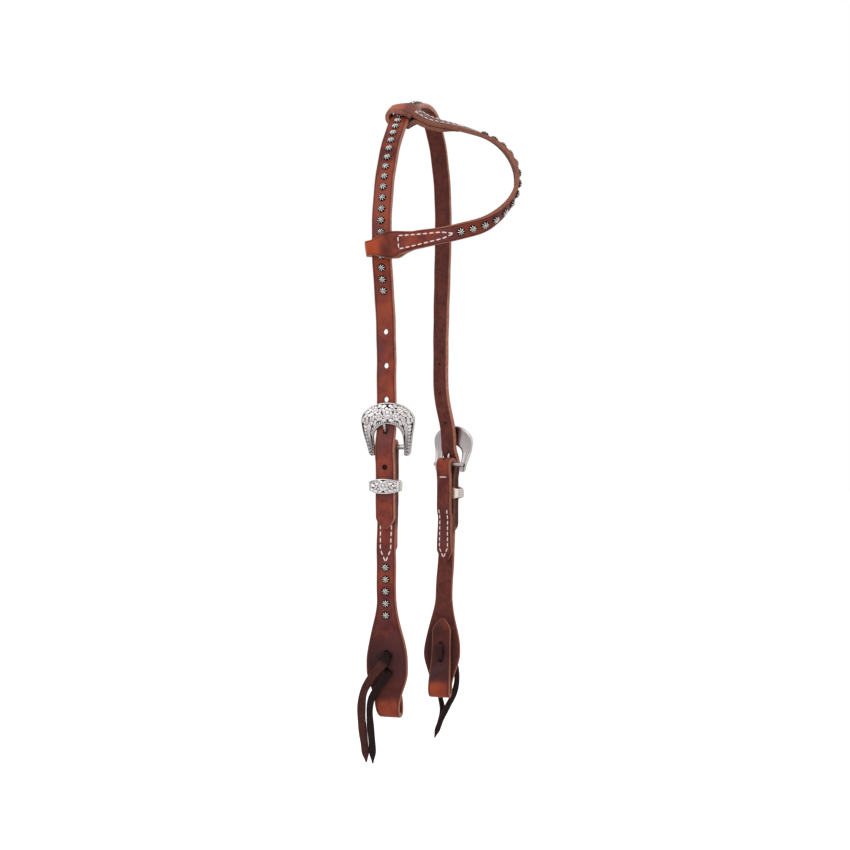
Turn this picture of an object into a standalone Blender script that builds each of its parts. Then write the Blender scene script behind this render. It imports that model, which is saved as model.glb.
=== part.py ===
# Western one-ear headstall: a spotted crown strap over the poll, a shaped ear piece
# that slides on it, and two cheeks, each with a buckle, a keeper and a laced bit end.
# Metres, +Z up, +X to the front of the horse's head.  The origin is the underside of
# the crown at its highest point, where the headstall hangs.
import bpy
import bmesh
from math import sin, cos, pi, radians
from mathutils import Vector, Matrix

mm = 0.001
forward = Vector((1.0, 0.0, 0.0))
upward = Vector((0.0, 0.0, 1.0))

# Leather
strap_wide = 16.0 * mm
half_strap = strap_wide / 2
crown_thick = 4.2 * mm
cheek_thick = 3.8 * mm
ear_thick = 3.6 * mm
leather_bevel = 0.7 * mm
air = 0.3 * mm

# The crown's arch: round on the off side, a steeper ellipse on the near side
arch_radius = 133.0 * mm
arch_end = radians(105.0)
arch_centre = Vector((0.0, 0.0, crown_thick / 2 - arch_radius))
ease_length = 70.0 * mm
near_reach = 66.0 * mm
near_drop = 90.0 * mm
near_tuck = 9.0 * mm

# Star spots, and how far down each side their row runs from the top
spot_wide = 7.0 * mm
spot_high = 2.7 * mm
spot_pitch = 9.4 * mm
spot_sink = 0.6 * mm
off_run = 251.5 * mm
near_run = 229.0 * mm
cheek_spot_first = -98.8 * mm
cheek_spot_pitch = 9.85 * mm
cheek_spots = 5
ear_spots = 14

# Buckle, measured from the bar's axis
bar_radius = 2.1 * mm
bar_length = 34.6 * mm
bar_level = -3.4 * mm
bar_slip = 2.4 * mm
frame_thick = 2.6 * mm
window_half = 12.6
frame_half = 23.3
pin_radius = 1.2 * mm
knuckle_radius = 3.9 * mm

# Adjusting holes in the crown, measured up from the bar's axis
hole_wide = 4.3 * mm
hole_pitch = 27.7 * mm
tongue_hole = 11.2 * mm
tongue_hole_wide = 5.2 * mm

# Keeper, in millimetres from the crown's middle
keeper_tall = 12.4 * mm
keeper_wall = 1.3 * mm
keeper_half = 12.4
keeper_front = 6.15
keeper_bow = 1.5
keeper_back = -4.1

# Cheek, measured down from the bar's axis
tail_tip = -67.0 * mm
fold_tip = -95.0 * mm
flare_top = -124.0 * mm
flare_wide = -178.0 * mm
bit_gap = 5.5 * mm
bit_wide = 35.0 * mm
bit_fold_wide = 21.0 * mm
bit_tip = -145.5 * mm
lace_holes = (-169.0 * mm, -183.5 * mm)
lace_wide = 5.0 * mm
lace_thick = 3.2 * mm

# Ear piece: where its two loops hold the crown, as angles round the arch
ear_low = radians(93.6)
ear_high = radians(34.0)
ear_half = 6.4 * mm
ear_tail_length = 45.0 * mm
ear_first_spot = 52.5 * mm
ear_last_spot = 67.2 * mm
loop_out = arch_radius + crown_thick / 2 + spot_high + 0.5 * mm + ear_thick / 2
loop_in = arch_radius - crown_thick / 2 - 1.0 * mm - ear_thick / 2

# The two sides of the head: which way is out, where the bar hangs, how far the strap
# turns its front edge in, how far the cheek stands out at the bar, below the buckle and
# at the bit, how far down it folds round the bit, and how round its fold's back corner is
sides = {
    "off": dict(out=-1.0, bar=-301.4 * mm, across=-119.3 * mm, turn=0.0, at_bar=0.0, low=-1.0 * mm,
                bottom=-5.0 * mm, drift=-0.9 * mm, keeper=-32.0 * mm, bit=-223.6 * mm, corner=3.6 * mm),
    "near": dict(out=1.0, bar=-320.7 * mm, across=57.0 * mm, turn=radians(25.0), at_bar=12.0 * mm,
                 low=9.0 * mm, bottom=-5.0 * mm, drift=1.7 * mm, keeper=-27.3 * mm, bit=-218.4 * mm, corner=0.8 * mm),
}

brown = (0.235, 0.066, 0.040)
lace_brown = (0.030, 0.013, 0.011)
silver = (0.62, 0.60, 0.61)

for thing in list(bpy.data.objects):
    bpy.data.objects.remove(thing, do_unlink=True)
headstall = bpy.data.collections.new("western_headstall")
cutters = bpy.data.collections.new("cutters")
bpy.context.scene.collection.children.link(headstall)
bpy.context.scene.collection.children.link(cutters)


def keep(thing, color, rough, metal=0.0):
    """Put a finished piece in the headstall with its own Principled material."""
    headstall.objects.link(thing)
    look = bpy.data.materials.new(thing.name)
    look.use_nodes = True
    shader = look.node_tree.nodes["Principled BSDF"]
    shader.inputs["Base Color"].default_value = (*color, 1.0)
    shader.inputs["Roughness"].default_value = rough
    shader.inputs["Metallic"].default_value = metal
    look.diffuse_color = (*color, 1.0)
    thing.data.materials.append(look)
    return thing


def guide(thing):
    """A cutter or a helper, drawn as wires and never rendered."""
    cutters.objects.link(thing)
    thing.hide_render = True
    thing.display_type = "WIRE"
    return thing


def smooth(t):
    """Ease from nought to one with level ends."""
    t = min(1.0, max(0.0, t))
    return t * t * (3.0 - 2.0 * t)


def round_shading(data):
    data.shade_smooth()
    data.set_sharp_from_angle(angle=radians(40.0))


def band(name, stations, thick, bevel, closed=False):
    """A strap: a loft through rows across it, made solid by Solidify and eased by Bevel."""
    across = len(stations[0])
    points = [tuple(point) for row in stations for point in row]
    count = len(stations)
    last = count if closed else count - 1
    faces = []
    for i in range(last):
        j = (i + 1) % count
        for k in range(across - 1):
            faces.append((i * across + k, i * across + k + 1, j * across + k + 1, j * across + k))
    data = bpy.data.meshes.new(name)
    data.from_pydata(points, [], faces)
    data.shade_smooth()
    thing = bpy.data.objects.new(name, data)
    solid = thing.modifiers.new("thickness", "SOLIDIFY")
    solid.thickness = thick
    solid.offset = 0.0
    solid.use_even_offset = True
    solid.use_quality_normals = True
    edge = thing.modifiers.new("eased edges", "BEVEL")
    edge.width = bevel
    edge.segments = 1
    edge.limit_method = "ANGLE"
    edge.angle_limit = radians(48.0)
    edge.harden_normals = True
    return thing


def cylinder(name, radius, length, middle, along, around=16):
    """A round bar from its middle point and its direction."""
    data = bpy.data.meshes.new(name)
    build = bmesh.new()
    bmesh.ops.create_cone(build, cap_ends=True, segments=around, radius1=radius,
                          radius2=radius, depth=length)
    turn = upward.rotation_difference(Vector(along)).to_matrix().to_4x4()
    bmesh.ops.transform(build, matrix=Matrix.Translation(middle) @ turn, verts=build.verts)
    build.to_mesh(data)
    build.free()
    round_shading(data)
    return bpy.data.objects.new(name, data)


def boolean(thing, other, how):
    cut = thing.modifiers.new(how.lower() + " " + other.name, "BOOLEAN")
    cut.operation = how
    cut.solver = "EXACT"
    cut.object = other


def settle(thing):
    """Turn a curve or a modified piece into a plain closed mesh, where it stands."""
    headstall.objects.link(thing)
    bpy.context.view_layer.update()
    seen = thing.evaluated_get(bpy.context.evaluated_depsgraph_get())
    data = bpy.data.meshes.new_from_object(seen)
    name = thing.name
    where = thing.matrix_world.copy()
    headstall.objects.unlink(thing)
    bpy.data.objects.remove(thing, do_unlink=True)
    build = bmesh.new()
    build.from_mesh(data)
    bmesh.ops.remove_doubles(build, verts=build.verts, dist=0.00002)
    bmesh.ops.recalc_face_normals(build, faces=build.faces)
    build.to_mesh(data)
    build.free()
    data.name = name
    round_shading(data)
    done = bpy.data.objects.new(name, data)
    done.matrix_world = where
    return done


def tube(name, points, radius):
    """A round cord or wire along a route of points, with closed ends."""
    data = bpy.data.curves.new(name, "CURVE")
    data.dimensions = "3D"
    data.resolution_u = 1
    data.render_resolution_u = 0
    data.bevel_depth = radius
    data.bevel_resolution = 2
    data.use_fill_caps = True
    line = data.splines.new("POLY")
    line.points.add(len(points) - 1)
    for i, point in enumerate(points):
        line.points[i].co = (*point, 1.0)
    return settle(bpy.data.objects.new(name, data))


def pivot(thing, point):
    """Move a piece's origin to its joint without moving the piece."""
    thing.data.transform(Matrix.Translation(-Vector(point)))
    thing.location = point


def spline(keys, steps):
    """A smooth route through a few key points (Catmull-Rom)."""
    ends = [2 * keys[0] - keys[1]] + keys + [2 * keys[-1] - keys[-2]]
    route = []
    for i in range(1, len(ends) - 2):
        a, b, c, d = ends[i - 1], ends[i], ends[i + 1], ends[i + 2]
        for s in range(steps):
            t = s / steps
            route.append(0.5 * (2 * b + (c - a) * t + (2 * a - 5 * b + 4 * c - d) * t * t
                                + (3 * b - a - 3 * c + d) * t * t * t))
    route.append(keys[-1])
    return route


def spot_shape(sink, around):
    """One low domed spot: half its outline turned about its own axis."""
    radius = spot_wide / 2
    outline = [(0.0, spot_high), (0.55 * radius, 0.84 * spot_high), (0.95 * radius, 0.36 * spot_high),
               (radius, -sink), (0.0, -sink)]
    data = bpy.data.meshes.new("spot_outline")
    edges = [(i, i + 1) for i in range(len(outline) - 1)]
    data.from_pydata([(r, 0.0, h) for r, h in outline], edges, [])
    thing = bpy.data.objects.new("spot_outline", data)
    turned = thing.modifiers.new("turned", "SCREW")
    turned.steps = around
    turned.render_steps = around
    turned.use_merge_vertices = True
    turned.merge_threshold = 0.00002
    done = settle(thing)
    shape = done.data
    bpy.data.objects.remove(done)
    return shape


def standing(where, outward, run):
    """The place of a piece whose Z stands outward and whose X lies along the strap."""
    outward = outward.normalized()
    run = (run - outward * run.dot(outward)).normalized()
    turn = Matrix((run, outward.cross(run), outward)).transposed().to_4x4()
    return Matrix.Translation(where) @ turn


# Where things lie on each side of the head.  x runs forward across the strap, n runs
# outward from the strap's middle, z runs up from the bar's axis.
def turned(side, z):
    """The front edge's turn: full at the buckle, a third of it at the top of the leg and
    none below the crown's tail."""
    kept = 1.0 - 0.68 * smooth((z - 90.0 * mm) / (150.0 * mm))
    return sides[side]["turn"] * kept * (1.0 - smooth((-45.0 * mm - z) / (85.0 * mm)))


def directions(side, z):
    """Forward and outward at a height, following the turn."""
    a = turned(side, z)
    out = sides[side]["out"]
    return Vector((cos(a), -out * sin(a), 0.0)), Vector((sin(a), out * cos(a), 0.0))


def sway(side, z):
    """How far the hanging strap stands out at each height."""
    s = sides[side]
    push = s["at_bar"] * smooth((76.0 * mm - z) / (56.0 * mm))
    push += (s["low"] - s["at_bar"]) * smooth((-45.0 * mm - z) / (60.0 * mm))
    return push + (s["bottom"] - s["low"]) * smooth((-85.0 * mm - z) / (150.0 * mm))


def on_side(side, x, n, z):
    """A point on a side, following its turn and sway."""
    s = sides[side]
    ahead, outward = directions(side, z)
    base = Vector((0.0, s["across"], s["bar"] + z))
    x += s["drift"] * smooth((-48.0 * mm - z) / (45.0 * mm))
    return base + ahead * x + outward * (n + sway(side, z))


def held_still(side, level):
    """The same directions held at one height, for metal pieces."""
    s = sides[side]
    ahead, outward = directions(side, level)
    base = Vector((0.0, s["across"], s["bar"])) + outward * sway(side, level)

    def place(x, n, z):
        return base + ahead * x + outward * n + upward * z
    return place


def crown_out(z):
    """The crown strap stands 5.2 mm out over the bar and settles to 3.1 mm on the cheek."""
    return (5.2 * smooth((17.0 * mm - z) / (17.0 * mm)) - 2.1 * smooth((-3.0 * mm - z) / (12.0 * mm))) * mm


def cheek_out(z):
    return (0.9 - 2.1 * smooth((-3.0 * mm - z) / (12.0 * mm))) * mm


def lining_out(z):
    """The turned-back layer: apart for the keeper, together at the stitching."""
    parted = -7.7 + 0.9 * smooth((-3.0 * mm - z) / (12.0 * mm))
    return (parted + 1.5 * smooth((-43.0 * mm - z) / (9.0 * mm))) * mm


def arch_off(angle):
    """A point on the round off-side half, with the direction out of the leather."""
    outward = Vector((0.0, -sin(angle), cos(angle)))
    return arch_centre + outward * arch_radius, outward


def arch_near(t):
    """A point on the steeper near-side half, with its outward direction."""
    point = Vector((0.0, near_reach * sin(t), crown_thick / 2 - near_drop + near_drop * cos(t)))
    outward = Vector((0.0, near_drop * sin(t), near_reach * cos(t))).normalized()
    return point, outward


def blunt_half(left, half, blunt):
    """Half width of a strap that ends in a blunt point, by the length left to its tip."""
    if left >= blunt:
        return half
    return half * (0.14 + 0.86 * (1.0 - (1.0 - left / blunt) ** 1.8))


def tail_levels(top):
    """Heights up a crown leg, close together at its tip and where it climbs the bar."""
    levels = []
    z = tail_tip
    while z < top:
        levels.append(z)
        bending = z < -56.0 * mm or -17.0 * mm < z < 18.0 * mm
        z += 2.2 * mm if bending else 8.0 * mm
    return levels


def crown_line():
    """Stations (middle, direction across, outward, half width) from the off tail's tip
    over the top to the near tail's tip."""
    line = []
    # The off leg up to where it starts to lean out into the arch
    ease_low = arch_off(arch_end)[0].z - sides["off"]["bar"] - ease_length * 0.995
    leg_top = 20.0 * mm
    levels = tail_levels(leg_top) + [leg_top + (ease_low - leg_top) * k / 5 for k in range(6)]
    for z in levels:
        ahead, outward = directions("off", z)
        half = blunt_half(z - tail_tip, half_strap, 10.0 * mm)
        line.append((on_side("off", 0.0, crown_out(z), z), ahead, outward, half))
    # The ease from upright into the round arch, worked out from the arch downwards
    lean = arch_end - pi / 2
    middle = arch_off(arch_end)[0]
    ease = []
    steps = 8
    for k in range(1, steps):
        tilt = lean * (1.0 - (k - 0.5) / steps)
        middle = middle + Vector((0.0, sin(tilt), -cos(tilt))) * (ease_length / steps)
        tilt = lean * (1.0 - k / steps)
        ease.append((middle, forward, Vector((0.0, -cos(tilt), -sin(tilt))), half_strap))
    line += reversed(ease)
    steps = 36
    for k in range(steps):
        middle, outward = arch_off(arch_end * (1.0 - k / steps))
        line.append((middle, forward, outward, half_strap))
    # Over the top and down the near side, where the strap turns its front edge in
    near_top = crown_thick / 2 - near_drop - sides["near"]["bar"]
    steps = 20
    for k in range(steps + 1):
        t = pi / 2 * k / steps
        middle, outward = arch_near(t)
        a = turned("near", near_top) * smooth((t - radians(25.0)) / radians(65.0))
        across = forward * cos(a) - outward * sin(a)
        line.append((middle, across, outward * cos(a) + forward * sin(a), half_strap))
    for z in reversed(tail_levels(near_top - 9.0 * mm)):
        ahead, outward = directions("near", z)
        middle = on_side("near", 0.0, crown_out(z), z)
        middle.y += near_tuck * (1.0 - smooth((near_top - z) / (130.0 * mm)))
        line.append((middle, ahead, outward, blunt_half(z - tail_tip, half_strap, 10.0 * mm)))
    return line


def along(line, start, distance):
    """A place on the crown by its distance from a station, off side negative."""
    step = 1 if distance > 0 else -1
    left = abs(distance)
    i = start
    while True:
        here, there = line[i], line[i + step]
        gap = (there[0] - here[0]).length
        if gap >= left:
            t = left / gap
            outward = (here[2] * (1 - t) + there[2] * t).normalized()
            return here[0] + (there[0] - here[0]) * t, outward, (there[0] - here[0]).normalized()
        left -= gap
        i += step


def crown():
    """The crown strap with its row of spots, which are set through it and joined to it."""
    line = crown_line()
    strap = band("crown_strap", [(m - a * h, m + a * h) for m, a, o, h in line], crown_thick,
                 leather_bevel)
    top = max(range(len(line)), key=lambda i: line[i][0].z)
    shape = spot_shape(spot_sink, 8)
    build = bmesh.new()
    for k in range(int((off_run + near_run) / spot_pitch) + 1):
        where, outward, run = along(line, top, -off_run + k * spot_pitch)
        spot = shape.copy()
        spot.transform(standing(where + outward * (crown_thick / 2), outward, run))
        build.from_mesh(spot)
        bpy.data.meshes.remove(spot)
    data = bpy.data.meshes.new("crown_spots")
    build.to_mesh(data)
    build.free()
    boolean(strap, guide(bpy.data.objects.new("crown_spots", data)), "UNION")
    return strap


def cut_hole(thing, name, low, high, radius):
    """A round hole between two points."""
    cutter = guide(cylinder(name, radius, (high - low).length, (low + high) / 2, (high - low).normalized(), 14))
    boolean(thing, cutter, "DIFFERENCE")


def adjusting_holes(strap, side):
    """Four spare holes, and the one that the tongue goes through at its own slant, worn
    wide enough for it to play."""
    for k in (-1, 1, 2, 3):
        z = tongue_hole + k * hole_pitch
        n = crown_out(z)
        cut_hole(strap, "%s_hole_cut_%d" % (side, k + 2), on_side(side, 0.0, n - 7.0 * mm, z),
                 on_side(side, 0.0, n + 7.0 * mm, z), hole_wide / 2)
    place = held_still(side, 0.0)
    low = place(0.0, -3.04 * mm, 4.86 * mm)
    high = place(0.0, 7.44 * mm, 18.14 * mm)
    cut_hole(strap, side + "_tongue_hole_cut", low, high, tongue_hole_wide / 2)


def cheek_line(side):
    """Stations (n, z, half width) of one cheek strap: the lining's tip, round the bar,
    down the cheek, round the bit and up inside it to its own tip."""
    line = []
    z = fold_tip
    while z < -2.0 * mm:
        half = half_strap * min(1.0, 0.12 + 0.88 * (z - fold_tip) / (12.0 * mm))
        line.append((lining_out(z), z, half))
        bending = z < -83.0 * mm or -56.0 * mm < z < -40.0 * mm or z > -17.0 * mm
        z += 3.0 * mm if bending else 8.0 * mm
    radius = bar_radius + air + cheek_thick / 2
    for k in range(9):
        a = pi * k / 8
        line.append((bar_level - radius * cos(a), radius * sin(a), half_strap))
    fold_radius = (bit_gap + cheek_thick) / 2
    bottom = sides[side]["bit"]
    fold_level = bottom + cheek_thick / 2 + fold_radius
    z = -2.5 * mm
    while z > fold_level + 3.0 * mm:
        half = half_strap + (bit_wide - strap_wide) / 2 * smooth((flare_top - z) / (flare_top - flare_wide))
        half -= (bit_wide - bit_fold_wide) / 2 * smooth((bottom + 40.0 * mm - z) / (30.0 * mm))
        line.append((cheek_out(z), z, half))
        z -= 3.0 * mm if z > -17.0 * mm else (9.0 * mm if z > flare_top else 5.0 * mm)
    face = cheek_out(flare_top)
    for k in range(11):
        a = pi * k / 10
        line.append((face - fold_radius + fold_radius * cos(a), fold_level - fold_radius * sin(a),
                     bit_fold_wide / 2))
    # Inside the bit end the tail closes on the cheek, so that the lace ties both
    together = cheek_thick + air
    low = fold_level + 3.0 * mm
    blunt = 12.0 * mm
    levels = [low + (bit_tip - blunt - low) * k / 11 for k in range(11)]
    levels += [bit_tip - blunt + blunt * k / 5 for k in range(6)]
    for z in levels:
        inward = together + (2 * fold_radius - together) * (1.0 - smooth((z - fold_level) / (26.0 * mm)))
        half = bit_fold_wide / 2 - 1.6 * mm * smooth((z - fold_level) / (40.0 * mm))
        line.append((face - inward, z, blunt_half(bit_tip - z, half, blunt)))
    return line


def fold_corner(side, z):
    """How much narrower the back half is near the bottom of the bit's fold."""
    up = (z - sides[side]["bit"] - cheek_thick / 2) / (10.0 * mm)
    return sides[side]["corner"] * max(0.0, 1.0 - up) ** 1.5


def cheek(side):
    rows = [(on_side(side, fold_corner(side, z) - half, n, z), on_side(side, half, n, z))
            for n, z, half in cheek_line(side)]
    strap = band(side + "_cheek", rows, cheek_thick, leather_bevel)
    # The slot at the top of the fold, where the tongue swings
    ahead, outward = directions(side, 0.0)
    build = bmesh.new()
    bmesh.ops.create_cube(build, size=1.0)
    turn = Matrix((ahead * 4.8 * mm, outward * 16.6 * mm, upward * 13.8 * mm)).transposed().to_4x4()
    middle = held_still(side, 0.0)(0.0, -3.7 * mm, 2.1 * mm)
    bmesh.ops.transform(build, matrix=Matrix.Translation(middle) @ turn, verts=build.verts)
    bmesh.ops.recalc_face_normals(build, faces=build.faces)
    data = bpy.data.meshes.new(side + "_tongue_slot_cut")
    build.to_mesh(data)
    build.free()
    boolean(strap, guide(bpy.data.objects.new(data.name, data)), "DIFFERENCE")
    for k, z in enumerate(lace_holes):
        cut_hole(strap, "%s_lace_cut_%d" % (side, k + 1), on_side(side, 0.0, -14.0 * mm, z),
                 on_side(side, 0.0, 6.0 * mm, z), lace_wide / 2 + 0.4 * mm)
    keep(strap, brown, 0.48)


def frame_row(u):
    """Inner and outer edge of the frame, in millimetres: two unlike arches over the bar
    and two tapering legs beside it.  u runs from the back leg (-1) to the front one (1)."""
    v = abs(u)
    arch = 0.55
    if v <= arch:
        a = pi / 2 * v / arch
        return (window_half * sin(a), 7.8 + 11.0 * cos(a)), (frame_half * sin(a), 22.4 + 14.4 * cos(a) ** 1.12)
    t = (v - arch) / (1.0 - arch)
    inner = (window_half - 0.1 * t, 7.8 - 15.2 * t)
    return inner, (frame_half - 5.6 * t - 0.4 * smooth(t), 22.4 - 29.4 * t)


def buckle(side):
    """The frame is a bowed horseshoe lofted between its two edges, with lugs for its bar."""
    place = held_still(side, 0.0)
    ahead, outward = directions(side, 0.0)
    middle = place(bar_slip, bar_level, 0.0)
    rows = []
    steps = 34
    for k in range(steps + 1):
        u = -1.0 + 2.0 * k / steps
        inner, outer = frame_row(u)
        row = []
        for part, crest in ((0.0, 0.0), (0.5, 0.55), (1.0, 0.0)):
            x = (inner[0] + (outer[0] - inner[0]) * part) * (1.0 if u >= 0 else -1.0)
            z = inner[1] + (outer[1] - inner[1]) * part
            n = 3.95 - 4.5 * smooth((15.0 - z) / 20.0) + crest
            row.append(place(x * mm + bar_slip, n * mm, z * mm))
        rows.append(row)
    plate = band(side + "_buckle_frame", rows, frame_thick, 0.5 * mm)
    for name, end in (("back", -1.0), ("front", 1.0)):
        lug = cylinder("%s_lug_%s" % (side, name), 3.5 * mm, 4.4 * mm, middle + ahead * (end * 14.5 * mm), ahead)
        boolean(plate, guide(lug), "UNION")
    bore = guide(cylinder(side + "_bar_bore", bar_radius + 0.25 * mm, 60.0 * mm, middle, ahead))
    boolean(plate, bore, "DIFFERENCE")
    pivot(plate, middle)
    keep(plate, silver, 0.28, 1.0)

    bar = cylinder(side + "_buckle_bar", bar_radius, bar_length, middle, ahead)
    edge = bar.modifiers.new("rounded ends", "BEVEL")
    edge.width = 0.6 * mm
    edge.segments = 2
    edge.limit_method = "ANGLE"
    edge.angle_limit = radians(50.0)
    pivot(bar, middle)
    keep(bar, silver, 0.3, 1.0)


def tongue(side):
    """A wire from the bar out through the strap to the frame's top edge, with an eye
    round the bar."""
    place = held_still(side, 0.0)
    ahead, outward = directions(side, 0.0)
    middle = place(0.0, bar_level, 0.0)
    route = [(-1.3, 3.1), (-1.15, 6.0), (-0.1, 8.6), (1.9, 11.4), (4.3, 14.2), (6.2, 16.6), (6.6, 18.7)]
    pin = tube(side + "_buckle_tongue", [place(0.0, n * mm, z * mm) for n, z in route], pin_radius)
    knuckle = guide(cylinder(side + "_tongue_knuckle", knuckle_radius, 3.4 * mm, middle, ahead, 18))
    boolean(pin, knuckle, "UNION")
    eye = guide(cylinder(side + "_tongue_eye_cut", bar_radius + air, 8.0 * mm, middle, ahead, 18))
    boolean(pin, eye, "DIFFERENCE")
    pivot(pin, middle)
    keep(pin, silver, 0.3, 1.0)


def keeper(side):
    """A bowed loop round the cheek and the crown's tail, with play to one side."""
    level = sides[side]["keeper"]
    aside = sides[side]["drift"] / 2
    place = held_still(side, level)
    profile = []
    steps = 14
    for k in range(steps + 1):
        t = -1.0 + 2.0 * k / steps
        profile.append((keeper_half * t, keeper_front + keeper_bow * (1.0 - t * t)))
    for k in range(1, 4):
        profile.append((keeper_half, keeper_front + (keeper_back - keeper_front) * k / 4))
    for k in range(5):
        profile.append((keeper_half * (1.0 - k / 2), keeper_back))
    for k in range(1, 4):
        profile.append((-keeper_half, keeper_back + (keeper_front - keeper_back) * k / 4))
    rows = []
    for x, n in profile:
        rows.append((place(x * mm + aside, n * mm, level - keeper_tall / 2),
                     place(x * mm + aside, n * mm, level + keeper_tall / 2)))
    loop = band(side + "_keeper", rows, keeper_wall, 0.35 * mm, closed=True)
    pivot(loop, place(0.0, 0.0, level))
    keep(loop, silver, 0.28, 1.0)


def spots_on_cheek(side, shape):
    for k in range(cheek_spots):
        z = cheek_spot_first - cheek_spot_pitch * k
        face = cheek_out(z) + cheek_thick / 2 + air
        where = on_side(side, 0.0, face, z)
        up = (on_side(side, 0.0, face, z + mm) - where).normalized()
        outward = directions(side, z)[1]
        outward = outward - up * outward.dot(up)
        data = shape.copy()
        data.transform(standing(where, outward, up))
        keep(bpy.data.objects.new("%s_cheek_spot_%d" % (side, k + 1), data), silver, 0.4, 1.0)


def tie_lace(side):
    """The lace's run inside the bit end, through both layers at each of its two holes."""
    face = cheek_out(flare_top)
    outside = face + cheek_thick / 2 - 0.25 * mm
    inside = face - 1.5 * cheek_thick - 2 * air - 1.7 * mm
    upper, lower = lace_holes
    keys = [(outside, upper), (outside - 4 * mm, upper), (inside + 1.2 * mm, upper), (inside, upper - 1.6 * mm),
            (inside, (upper + lower) / 2), (inside, lower + 1.6 * mm), (inside + 1.2 * mm, lower),
            (outside - 4 * mm, lower), (outside, lower)]
    route = [on_side(side, 0.0, n, z) for n, z in keys]
    keep(tube(side + "_tie_lace", route, lace_thick / 2), lace_brown, 0.6)


def tie_tail(name, side, keys):
    """One hanging end of the lace, from its hole: (x, n, z) in millimetres on its side."""
    route = [on_side(side, x * mm, n * mm, z * mm) for x, n, z in keys]
    keep(tube(name, spline(route, 3), lace_wide / 2), lace_brown, 0.6)


tie_routes = {
    "off_tie_tail_1": [(3.2, 3.7, -171.5), (-2.2, 4.2, -178.0), (-8.4, 4.6, -185.0), (-14.2, 5.2, -193.0),
                       (-18.4, 5.6, -201.5), (-20.2, 5.8, -211.0), (-20.4, 5.8, -222.3), (-19.2, 5.8, -234.7),
                       (-17.5, 6.2, -246.2), (-15.6, 7.8, -258.6)],
    "off_tie_tail_2": [(3.6, 3.7, -185.6), (-2.2, 4.0, -192.2), (-7.6, 4.4, -198.6), (-11.6, 4.8, -205.6),
                       (-13.4, 5.0, -213.4), (-13.5, 5.2, -222.3), (-12.4, 5.2, -234.7), (-11.2, 5.2, -247.1),
                       (-10.8, 5.2, -260.0)],
    "near_tie_tail_1": [(-2.0, 3.7, -169.0), (4.8, 4.0, -177.0), (10.4, 4.4, -186.0), (13.2, 4.6, -196.5),
                        (13.3, 4.8, -207.0), (10.4, 4.8, -218.0), (5.0, 4.6, -228.5), (-0.2, 4.4, -239.0),
                        (-4.4, 4.4, -249.5), (-7.7, 4.4, -259.0)],
    "near_tie_tail_2": [(-3.0, 3.7, -183.0), (-5.4, 5.6, -192.5), (-6.0, 8.5, -202.5), (-5.2, 10.5, -212.0),
                        (-3.8, 11.0, -222.0), (-1.8, 11.0, -233.0), (-4.0, 11.0, -244.0), (-8.0, 11.0, -256.0)],
}


# The ear piece: a folded loop round the crown at each end, and a shaped strap between
# them.  Key points of the strap's middle line in millimetres, from the lower loop round
# the ear to the upper one, each with the slope of the strap's width there in degrees.
ear_keys = [
    ((29.4, -139.8, -135.9), -88.0),
    ((47.3, -138.8, -133.1), -85.0),
    ((66.4, -133.0, -128.9), -78.0),
    ((85.6, -125.5, -122.0), -60.0),
    ((98.8, -116.0, -109.3), -40.0),
    ((105.0, -106.5, -93.5), -23.0),
    ((103.3, -98.0, -75.3), -8.0),
    ((93.4, -91.5, -58.4), 4.0),
    ((77.2, -86.5, -45.6), 14.0),
    ((52.1, -81.8, -35.0), 24.0),
    ((27.2, -79.4, -27.1), 31.0),
]


def on_arch(angle, x, r, y):
    """x forward, r out from the arch's centre, y along the crown towards the top."""
    outward = Vector((0.0, -sin(angle), cos(angle)))
    up = Vector((0.0, cos(angle), sin(angle)))
    return arch_centre + outward * r + up * y + forward * x, up


def ear_line():
    """Stations (middle, direction across, half width, outward) between the two loops."""
    first = on_arch(ear_low, 15.0 * mm, loop_out - 1.5 * mm, 2.4 * mm)[0]
    last = on_arch(ear_high, 13.0 * mm, loop_out - 4.6 * mm, -0.6 * mm)[0]
    steps = 4
    route = spline([first] + [Vector(point) * mm for point, slope in ear_keys] + [last], steps)
    line = []
    for i, where in enumerate(route):
        t = min(len(ear_keys) - 1.0, max(0.0, i / steps - 1.0))
        k = min(len(ear_keys) - 2, int(t))
        slope = radians(ear_keys[k][1] + (ear_keys[k + 1][1] - ear_keys[k][1]) * (t - k))
        # The strap widens towards each loop
        half = ear_half + 1.0 * mm * smooth(1.0 - min(t, len(ear_keys) - 1.0 - t) / 1.5)
        half += 2.4 * mm * max(0, steps - i, i - len(route) + 1 + steps) / steps
        run = (route[min(len(route) - 1, i + 1)] - route[max(0, i - 1)]).normalized()
        across = Vector((-0.3, cos(slope), sin(slope)))
        across = (across - run * across.dot(run)).normalized()
        line.append((where, across, half, across.cross(run).normalized()))
    return line


def ear_tail(line):
    """The turned-back end, laid under the first part of the line, tip first."""
    layer = ear_thick + air
    under = []
    length = 0.0
    for i, (where, across, half, outward) in enumerate(line):
        if i:
            length += (where - line[i - 1][0]).length
        if length > ear_tail_length:
            break
        if length < 5.5 * mm:
            continue
        spread = layer + (loop_out - loop_in - layer) * 0.62 * (1.0 - smooth(length / (9.0 * mm)))
        wide = (half - 0.8 * mm) * min(1.0, 0.12 + (ear_tail_length - length) / (13.0 * mm))
        under.append((where - outward * spread, across, wide))
    return list(reversed(under))


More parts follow.
